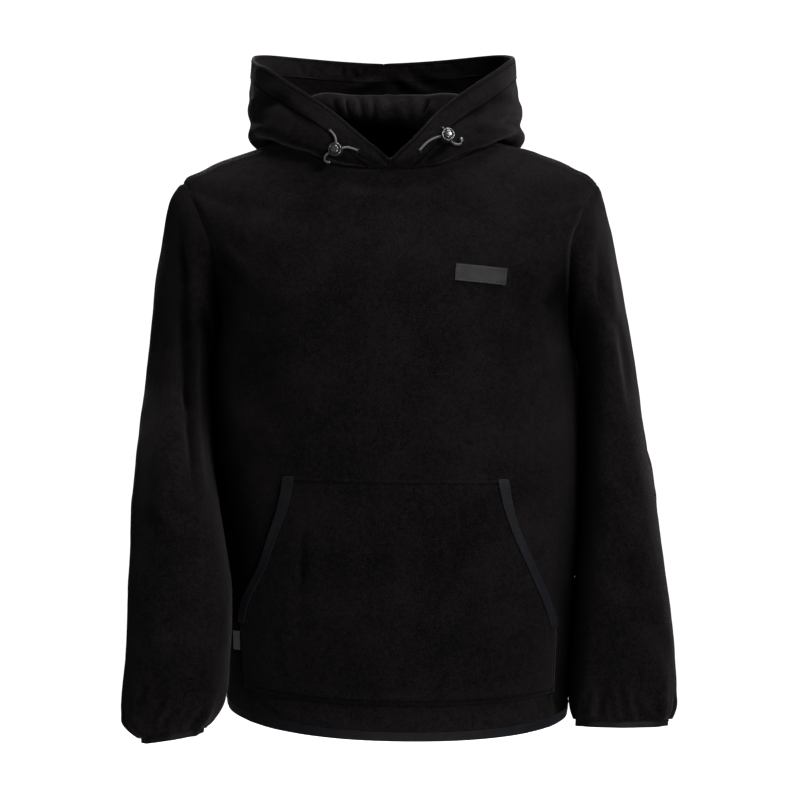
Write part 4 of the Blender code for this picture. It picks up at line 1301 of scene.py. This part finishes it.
def body_marks(node, skin, points):
    """The body and sleeves get painted light near their open edges, painted shade where they face each other, painted
    light on the back near its top seams, and painted shade inside the body near the neck.
    """
    far = to_line(points, points[free_run(node)]) * 1000
    # Painted light near the hem or cuff.
    light = PLAIN + 0.24 * np.exp(-((far / 30) ** 2))
    others = SLEEVES if node in BODY else BODY
    met = [min(facing[other].find_nearest(place, 0.07)[3] or 0.07 for other in others) for place in points]
    met = np.array(met)
    low = np.clip((-0.09 - points[:, 2]) / 0.07, 0, 1)
    turned_in = skin.out[:, 0] * np.sign(points[:, 0]) * (1 if node in BODY else -1)
    turned_in = np.clip(2.4 * turned_in - 0.5, 0, 1)
    # Painted shade where body and sleeve face each other, lower down.
    painted_gap_shade = np.maximum(np.exp(-((met / 0.011) ** 2)), turned_in * np.exp(-((met / 0.032) ** 2)))
    light *= 1 - 0.96 * low * painted_gap_shade
    # Painted light on the back's top near its seams.
    if node == "back":
        seam = np.array([sewn.find(place)[2] for place in points])
        light += 0.4 * np.clip((points[:, 2] + 0.06) / 0.03, 0, 1) * np.exp(-((seam / 0.012) ** 2))
    # Painted shade on the inside of the body, black at the top.
    if node in BODY:
        light = np.where(skin.inside, light * np.clip((-points[:, 2] - 0.1) / 0.1, 0, 1), light)
    return np.full(len(points), 60.0), light


for node, skin in skins.items():
    marks = hood_marks if node.startswith("hood") else pocket_marks if node == "pocket" else body_marks
    row, light = marks(node, skin, now(skin))
    # Painted light on the ridges of the creases and painted shade in their troughs.
    light = np.clip(light * np.clip(1 + 0.85 * skin.worn, 0.2, 1.9), 0, 1)
    mark(skin.piece, "row", row)
    mark(skin.piece, "light", light)


# ------------------------------------------------------------------- stitches
# A row's line lies no further than this from the cloth that it is sewn on.
STRAY = 0.006


def stitch_row(name, line, tree, pitch=0.0031, length=0.0023, thick=0.00024, lift=0.0001, clear=0.003):
    """A row of sewn stitches: one small rounded stitch, copied along a line on the cloth."""
    bpy.ops.object.select_all(action="DESELECT")
    bpy.ops.mesh.primitive_uv_sphere_add(segments=6, ring_count=4, radius=1)
    stitch = bpy.context.active_object
    shape = points_of(stitch.data) * (thick, thick, length / 2)
    faces = [tuple(polygon.vertices) for polygon in stitch.data.polygons]
    bpy.data.meshes.remove(stitch.data)
    line = np.array(line)
    run = np.concatenate(([0], np.cumsum(np.linalg.norm(np.diff(line, axis=0), axis=1))))
    count = max(1, int(run[-1] / pitch))
    points, found = [], []
    for at in range(count):
        middle = (at + 0.5) * run[-1] / count
        place, before, after = (
            Vector([np.interp(middle + step, run, line[:, k]) for k in range(3)]) for step in (0, -0.001, 0.001)
        )
        if (after - before).length < 1e-7:
            continue
        ground, normal = tree.find_nearest(place)[:2]
        if (ground - place).length > STRAY or sewn.find(ground)[2] < clear:
            continue
        along = (after - before).normalized()
        out = (normal - along * normal.dot(along)).normalized()
        frame = np.array([out.cross(along), out, along])
        base = len(points)
        points += [tuple(point) for point in shape @ frame + np.array(ground + out * lift)]
        found += [tuple(base + corner for corner in face) for face in faces]
    mesh = bpy.data.meshes.new(name)
    mesh.from_pydata(points, [], found)
    row = add_piece(name, mesh, THREAD)
    smooth(mesh)
    return row


outer = {node: skin.face_tree(skin.outer) for node, skin in skins.items()}


def lifted(places, tree, height):
    """Each place moved out from the cloth that it lies on."""
    return [Vector(place) + Vector(tree.find_nearest(place)[1]) * height for place in places]


stitches = {node: [] for node in skins}
for side in ("left", "right"):
    node = "hood_" + side
    for name, reach in (("casing_stitches_", CASING_WIDTH), ("face_edge_stitches_", FACE_EDGE_ROW)):
        line = walk(skins[node], free_run(node), reach, outer[node])
        stitches[node].append(stitch_row(name + side, line, outer[node]))
pocket = skins["pocket"]
mouths = {side: mesh_tree(tapes["pocket_binding_" + side].data) for side in ("left", "right")}
for at, (_, run) in enumerate(runs["pocket"]):
    line = walk(pocket, run, POCKET_ROW, outer["pocket"])
    bound = [min(mouth.find_nearest(place)[3] for mouth in mouths.values()) for place in line]
    line = line[np.array(bound) > STRAY]
    stitches["pocket"].append(stitch_row("pocket_stitches_%d" % at, line, outer["pocket"]))
# The hem's tape starts at the cloth's rim and hangs below it, so its row of stitches does too.
hem = mesh_tree(tapes["hem_binding"].data)
for node in BODY:
    line = lifted(walk(skins[node], free_run(node), 0.001, outer[node]), outer[node], 0.001)
    line = [place - Vector((0, 0, 0.0028)) for place in line]
    stitches[node].append(stitch_row("hem_binding_stitches_" + node, line, hem, clear=0.001))
for node in SLEEVES:
    tape = node.replace("sleeve", "cuff_binding")
    line = lifted(walk(skins[node], free_run(node), TAPE_ROW, outer[node]), outer[node], 0.003)
    stitches[node].append(stitch_row(tape + "_stitches_" + node, line, mesh_tree(tapes[tape].data)))
for _, run in runs["pocket"]:
    across = now(pocket)[run][:, 0]
    if np.ptp(across) < 0.12:
        side = "left" if across.mean() > 0 else "right"
        line = lifted(walk(pocket, run, TAPE_ROW, outer["pocket"]), outer["pocket"], 0.003)
        line = [place for place in line if mouths[side].find_nearest(place)[3] < 0.003]
        stitches["pocket"].append(stitch_row("pocket_binding_" + side + "_stitches", line, mouths[side]))


# ------------------------------------------------------------------- drawcords
CORD_DIAMETER = 0.0026
# The strands of the two drawcords, from where each leaves the casing, then the place and
# axis of the stopper and of the bead on the tail.
RIGHT = {
    "upper": (
        (-0.0784, -0.0930, 0.0389), (-0.0740, -0.0955, 0.0340), (-0.0712, -0.0983, 0.0282), (-0.0708, -0.1007, 0.0220),
    ),
    "lower": (
        (-0.0641, -0.1024, 0.0162), (-0.0600, -0.1022, 0.0177), (-0.0550, -0.1012, 0.0174), (-0.0495, -0.1014, 0.0158),
        (-0.0449, -0.1022, 0.0137),
    ),
    "tail": (
        (-0.0775, -0.0995, 0.0122), (-0.0822, -0.0979, 0.0094), (-0.0846, -0.0968, 0.0055), (-0.0840, -0.0963, 0.0018),
        (-0.0813, -0.0959, 0.0004),
    ),
    "lock": ((-0.0700, -0.0970, 0.0147), (-0.22, -0.975, 0.03)),
    "end": ((-0.0801, -0.0957, 0.0006), (0.97, 0.06, 0.22)),
}
LEFT = {
    "upper": ((0.0573, -0.0914, 0.0418), (0.0582, -0.0932, 0.0415), (0.0597, -0.0948, 0.0385)),
    "lower": (
        (0.0557, -0.0972, 0.0314), (0.0508, -0.0976, 0.0302), (0.0453, -0.0984, 0.0280), (0.0395, -0.0998, 0.0243),
        (0.0354, -0.1009, 0.0207), (0.0295, -0.1022, 0.0140),
    ),
    "tail": (
        (0.0673, -0.0968, 0.0262), (0.0712, -0.0962, 0.0226), (0.0762, -0.0947, 0.0216), (0.0794, -0.0937, 0.0234),
        (0.0798, -0.0930, 0.0264),
    ),
    "lock": ((0.0622, -0.0922, 0.0308), (0.17, -0.95, 0.25)),
    "end": ((0.0797, -0.0928, 0.0272), (-0.25, 0.12, 0.93)),
}


def soft_route(points, step=0.0008):
    """An even, rounded route through a cord's points."""
    points = np.array(points, float)
    full = np.vstack([2 * points[0] - points[1], points, 2 * points[-1] - points[-2]])
    route = []
    for a, b, c, d in zip(full[:-3], full[1:-2], full[2:-1], full[3:]):
        for t in np.linspace(0, 1, 12, endpoint=False):
            route.append(
                0.5 * (2 * b + (c - a) * t + (2 * a - 5 * b + 4 * c - d) * t**2 + (3 * b - a - 3 * c + d) * t**3)
            )
    route.append(points[-1])
    route = np.array(route)
    run = np.concatenate(([0], np.cumsum(np.linalg.norm(np.diff(route, axis=0), axis=1))))
    even = np.linspace(0, run[-1], max(4, round(run[-1] / step)) + 1)
    return np.stack([np.interp(even, run, route[:, k]) for k in range(3)], 1)


def strand(name, points, diameter, finish):
    """A round cord along a route, with its length and turn laid out for the braid."""
    route = smooth_line(soft_route(points), 4)
    piece = tube(name, route, diameter / 2, 3)
    mesh = piece.data
    mesh.name = name
    bpy.ops.object.mode_set(mode="EDIT")
    bpy.ops.mesh.select_all(action="SELECT")
    bpy.ops.mesh.remove_doubles(threshold=0.000001)
    bpy.ops.mesh.normals_make_consistent(inside=False)
    bpy.ops.object.mode_set(mode="OBJECT")
    mesh.materials.clear()
    mesh.materials.append(finish)
    tree = known_points(route)
    run = np.concatenate(([0], np.cumsum(np.linalg.norm(np.diff(route, axis=0), axis=1))))
    lengths, turns = [], []
    for place in points_of(mesh):
        at = tree.find(place)[1]
        along = route[min(at + 1, len(route) - 1)] - route[max(at - 1, 0)]
        along /= np.linalg.norm(along)
        side = np.cross(along, (0.2, 0.1, 1))
        side /= np.linalg.norm(side)
        off = place - route[at]
        lengths.append(run[at] + off @ along)
        turns.append(math.atan2(off @ np.cross(along, side), off @ side) / (2 * math.pi) % 1)
    layer = mesh.uv_layers.new(name="run")
    for polygon in mesh.polygons:
        corners = [turns[vertex] for vertex in polygon.vertices]
        for loop, turn in zip(polygon.loop_indices, corners):
            if max(corners) - turn > 0.5:
                turn += 1
            layer.data[loop].uv = (lengths[mesh.loops[loop].vertex_index], turn)
        polygon.use_smooth = True
    return piece, [tuple(place) for place in route]


def turned(name, profile, middle, axis, finish, steps=40):
    """A shape turned round an axis from its half outline: radius and height in millimetres."""
    rows = np.array(profile) / 1000
    mesh = bmesh.new()
    ends = [mesh.verts.new((radius, 0, height)) for radius, height in rows]
    edges = [mesh.edges.new(pair) for pair in zip(ends[:-1], ends[1:])]
    bmesh.ops.spin(
        mesh, geom=ends + edges, cent=(0, 0, 0), axis=(0, 0, 1), angle=2 * math.pi, steps=steps
    )
    bmesh.ops.remove_doubles(mesh, verts=mesh.verts, dist=ONE_POINT)
    bmesh.ops.recalc_face_normals(mesh, faces=mesh.faces)
    mesh.transform(Matrix.Translation(middle) @ Vector(axis).to_track_quat("Z", "Y").to_matrix().to_4x4())
    made = bpy.data.meshes.new(name)
    mesh.to_mesh(made)
    mesh.free()
    piece = add_piece(name, made, finish)
    alone(piece)
    bpy.ops.object.shade_smooth_by_angle(angle=math.radians(38))
    return piece


# Half outlines of the stopper's barrel, its button and the bead: radius and height.
BARREL = (
    (0, 0), (6.2, 0), (7.4, 0.3), (8.1, 1.1), (8.4, 2.4), (8.35, 4.2), (8.0, 5.6), (7.9, 7.0), (8.1, 7.9),
    (8.4, 8.5), (8.4, 9.7), (8.2, 10.5), (7.7, 11.0), (7.1, 11.2), (6.5, 11.1), (6.1, 10.7), (5.9, 10.0),
    (5.9, 8.7), (0, 8.7),
)
BUTTON = (
    (0, 8.8), (5.35, 8.8), (5.45, 11.5), (5.35, 12.2), (5.0, 12.8), (4.3, 13.3), (3.2, 13.6), (1.6, 13.7), (0, 13.7),
)
BEAD = (
    (0, -3.0), (1.9, -3.0), (2.5, -2.7), (2.8, -2.1), (2.8, -1.7), (2.6, -1.4), (2.6, -1.1), (2.9, -0.8),
    (3.0, 0.0), (3.0, 1.5), (2.8, 2.3), (2.3, 2.8), (1.5, 3.0), (0, 3.0),
)


def eyelet(name, place, along, size, tree):
    """A buttonhole worked in thread round the place where a cord leaves the casing."""
    ground, normal = tree.find_nearest(place)[:2]
    bpy.ops.object.select_all(action="DESELECT")
    bpy.ops.mesh.primitive_torus_add(
        major_segments=36, minor_segments=8, major_radius=1, minor_radius=0.25
    )
    ring = bpy.context.active_object
    ring.name = ring.data.name = name
    points = points_of(ring.data)
    thick = 0.0005
    round_way = points * (1, 1, 0)
    round_way /= np.linalg.norm(round_way, axis=1)[:, None]
    off = (points - round_way) / 0.25
    wrap = 1 + 0.12 * np.cos(np.arctan2(points[:, 1], points[:, 0]) * 18)
    long_way = (along - normal * along.dot(normal)).normalized()
    frame = np.array([long_way, normal.cross(long_way), normal])
    flat = round_way * (size[0], size[1], 0) + off * thick * wrap[:, None]
    placed = flat @ frame + np.array(ground)
    for at, spot in enumerate(placed):
        met, way = tree.find_nearest(spot)[:2]
        placed[at] += np.array(met) - spot + np.array(way) * (flat[at, 2] + 0.0001)
    ring.data.materials.append(THREAD)
    set_points(ring.data, placed)
    smooth(ring.data)
    return ring


trims = []
for side, parts in (("right", RIGHT), ("left", LEFT)):
    hood = "hood_" + side
    base, axis = (Vector(value) for value in parts["lock"])
    axis.normalize()
    core = base + axis * 0.0045
    route = (*parts["upper"], tuple(core), *parts["tail"])
    cord, path = strand("drawcord_" + side, route, CORD_DIAMETER, CORD)
    short, _ = strand("drawcord_lower_" + side, (tuple(core), *parts["lower"]), CORD_DIAMETER, CORD)
    lock = turned("cord_stopper_" + side, BARREL, base, axis, PLASTIC, 48)
    button = turned("stopper_button_" + side, BUTTON, base, axis, PLASTIC, 40)
    bead = turned("cord_bead_" + side, BEAD, *parts["end"], PLASTIC, 24)
    first, second = Vector(parts["upper"][0]), Vector(parts["upper"][1])
    last, before_last = Vector(parts["lower"][-1]), Vector(parts["lower"][-2])
    top = eyelet("eyelet_upper_" + side, first, second - first, (0.0021, 0.0019), outer[hood])
    across = (last - before_last).cross(Vector((0, -1, 0)))
    low = eyelet("eyelet_lower_" + side, last, across, (0.0027, 0.0014), outer[hood])
    for piece, node in (
        (short, "cord_lower_"),
        (lock, "cord_lock_"),
        (button, "lock_button_"),
        (bead, "cord_end_"),
    ):
        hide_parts(node + side)
    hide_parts("cord_upper_" + side, "cord_tail_" + side)
    length = sum((Vector(b) - Vector(a)).length for a, b in zip(path[:-1], path[1:]))
    for piece, slot in ((cord, "cord"), (short, "cord"), (lock, "plastic"), (button, "plastic"), (bead, "plastic")):
        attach(piece, "root")
    trims += [top, low]

# One long stitch holds the left casing beside its lower eyelet.
tack = (Vector((0.0407, -0.1, 0.0382)), Vector((0.0470, -0.1, 0.0398)))
tack = [outer["hood_left"].find_nearest(place)[0] for place in tack]
trims.append(stitch_row("casing_tack", tack, outer["hood_left"], pitch=0.0066, length=0.0064, thick=0.00045))


# ------------------------------------------------------------------- patch border
PATCH_SIZE = (0.0616, 0.0205)
PATCH_PLACE = (0.1025, -0.1358)
PATCH_TILT = -5.4
BORDER_INSET = 0.0015


def patch_border():
    """The thin raised line moulded just inside the edge of the patch."""
    tree = mesh_tree(patch.data)
    wide, high = (size / 2 - BORDER_INSET for size in PATCH_SIZE)
    corner = 0.0008
    outline = []
    for step in range(0, 360, 6):
        c, s = math.cos(math.radians(step)), math.sin(math.radians(step))
        outline.append((math.copysign(wide - corner, c) + corner * c, math.copysign(high - corner, s) + corner * s))
    outline.append(outline[0])
    turn = math.radians(PATCH_TILT)
    places = []
    for (a, b), (c, d) in zip(outline[:-1], outline[1:]):
        steps = max(1, round(math.hypot(c - a, d - b) / 0.002))
        for step in range(steps):
            u, v = a + (c - a) * step / steps, b + (d - b) * step / steps
            x = PATCH_PLACE[0] + u * math.cos(turn) - v * math.sin(turn)
            z = PATCH_PLACE[1] + u * math.sin(turn) + v * math.cos(turn)
            met = tree.ray_cast(Vector((x, -1, z)), Vector((0, 1, 0)))[0]
            if met is not None:
                places.append(met)
    piece = tube("patch_border", places, 0.00032, 1, closed=True)
    piece.data.materials.clear()
    piece.data.materials.append(PALE_RUBBER)
    smooth(piece.data)
    return piece


border = patch_border()

# ------------------------------------------------------------------- the pieces take the place of the CAD parts
for node, piece in {**panels, **tapes, "chest_patch": patch, "side_label": tab}.items():
    mesh = piece.data
    mesh.polygons.foreach_set("material_index", np.zeros(len(mesh.polygons), np.int32))
    while len(mesh.materials) > 1:
        mesh.materials.pop(index=len(mesh.materials) - 1)
    alone(piece)
    bpy.ops.object.shade_smooth_by_angle(angle=SHARP)
    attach(piece, "root")
    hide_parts(node)
    "fleece" if node in panels else "rubber" if node == "chest_patch" else "tape"
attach(border, "root")
for piece in (*trims, *(row for rows in stitches.values() for row in rows)):
    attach(piece, "root")

# Cut of what shows of each panel: width, length, area, how the panel is held and on what
# it rests.
CUTS = {
    "front": (0.64, 0.70, 0.386, "hung", ["cloth_back"]),
    "back": (0.64, 0.72, 0.400, "hung", ["cloth_front"]),
    "sleeve_left": (0.44, 0.60, 0.218, "hung", ["cloth_front", "cloth_back"]),
    "sleeve_right": (0.44, 0.60, 0.222, "hung", ["cloth_front", "cloth_back"]),
    "hood_left": (0.32, 0.42, 0.110, "folded", ["cloth_front", "cloth_back"]),
    "hood_right": (0.32, 0.42, 0.110, "folded", ["cloth_front", "cloth_back"]),
    "pocket": (0.40, 0.29, 0.100, "laid", ["cloth_front"]),
}
SEWN_ON = {
    "front": [tapes["hem_binding"], patch, border, tab],
    "sleeve_left": [tapes["cuff_binding_left"]],
    "sleeve_right": [tapes["cuff_binding_right"]],
    "hood_left": [piece for piece in trims if piece.name.endswith("left") or piece.name == "casing_tack"],
    "hood_right": [piece for piece in trims if piece.name.endswith("right")],
    "pocket": [tapes["pocket_binding_left"], tapes["pocket_binding_right"]],
}
for node, (width, length, area, held, rests_on) in CUTS.items():
    SEWN_ON.get(node, []) + stitches[node]


# ------------------------------------------------------------------- studio
FLOOR = -1.15
DISH_RADIUS = 8.0
DISH_RISE = 2.0


def studio():
    """A wide pale paper dish, a faint sky and five softboxes."""
    white = Finish("paper", Roughness=0.9, Emission_Strength=0.92)
    place = white.place()
    tone = white.grain(place, 0.7, detail=1)
    white.set("Base Color", white.blend(tone, (0.93, 0.93, 0.93), (0.97, 0.97, 0.97)))
    white.set("Emission Color", white.blend(tone, (0.98, 0.98, 0.98), (1.0, 1.0, 1.0)))
    rows = [(DISH_RADIUS, FLOOR)]
    for step in range(1, 13):
        angle = math.radians(90 * step / 12)
        rows.append((DISH_RADIUS + DISH_RISE * math.sin(angle), FLOOR + DISH_RISE * (1 - math.cos(angle))))
    rows.append((DISH_RADIUS + DISH_RISE, 9))
    around = 64
    points, faces = [], [tuple(range(around))]
    for row, (radius, up) in enumerate(rows):
        for step in range(around):
            turn = 2 * math.pi * step / around
            points.append((radius * math.cos(turn), radius * math.sin(turn), up))
            if row:
                under = (row - 1) * around
                after = (step + 1) % around
                faces.append((under + step, under + around + step, under + around + after, under + after))
    mesh = bpy.data.meshes.new("sweep")
    mesh.from_pydata(points, [], faces)
    sweep = add_piece("sweep", mesh, white.material)
    smooth(mesh)
    # The paper is seen, and throws no light back on the cloth.
    sweep.visible_diffuse = False
    sweep.visible_glossy = False
    sweep.visible_shadow = False

    world = bpy.data.worlds.new("studio")
    world.use_nodes = True
    world.node_tree.nodes["Background"].inputs[0].default_value = (1, 1, 1, 1)
    world.node_tree.nodes["Background"].inputs[1].default_value = 0.12
    scene.world = world

    def softbox(name, place, aim, size, power):
        light = bpy.data.lights.new(name, "AREA")
        light.shape = "RECTANGLE"
        light.size = size[0]
        light.size_y = size[1]
        light.energy = power
        lamp = bpy.data.objects.new(name, light)
        lamp.location = place
        lamp.rotation_euler = (Vector(aim) - Vector(place)).to_track_quat("-Z", "Y").to_euler()
        scene.collection.objects.link(lamp)

    softbox("key", (2.3, -3.0, 2.2), (0, 0, -0.1), (1.2, 1.2), 190)
    softbox("fill", (-2.0, -2.8, 0.6), (0, 0, -0.3), (1.6, 2.0), 3)
    softbox("low", (1.0, -3.3, -1.0), (0.1, 0, -0.6), (1.4, 0.8), 72)
    softbox("top", (0.6, -0.3, 2.3), (0, 0, 0), (1.3, 1.1), 70)
    softbox("back", (-0.6, 3.4, 1.8), (0, 0, -0.2), (1.8, 1.8), 200)


studio()
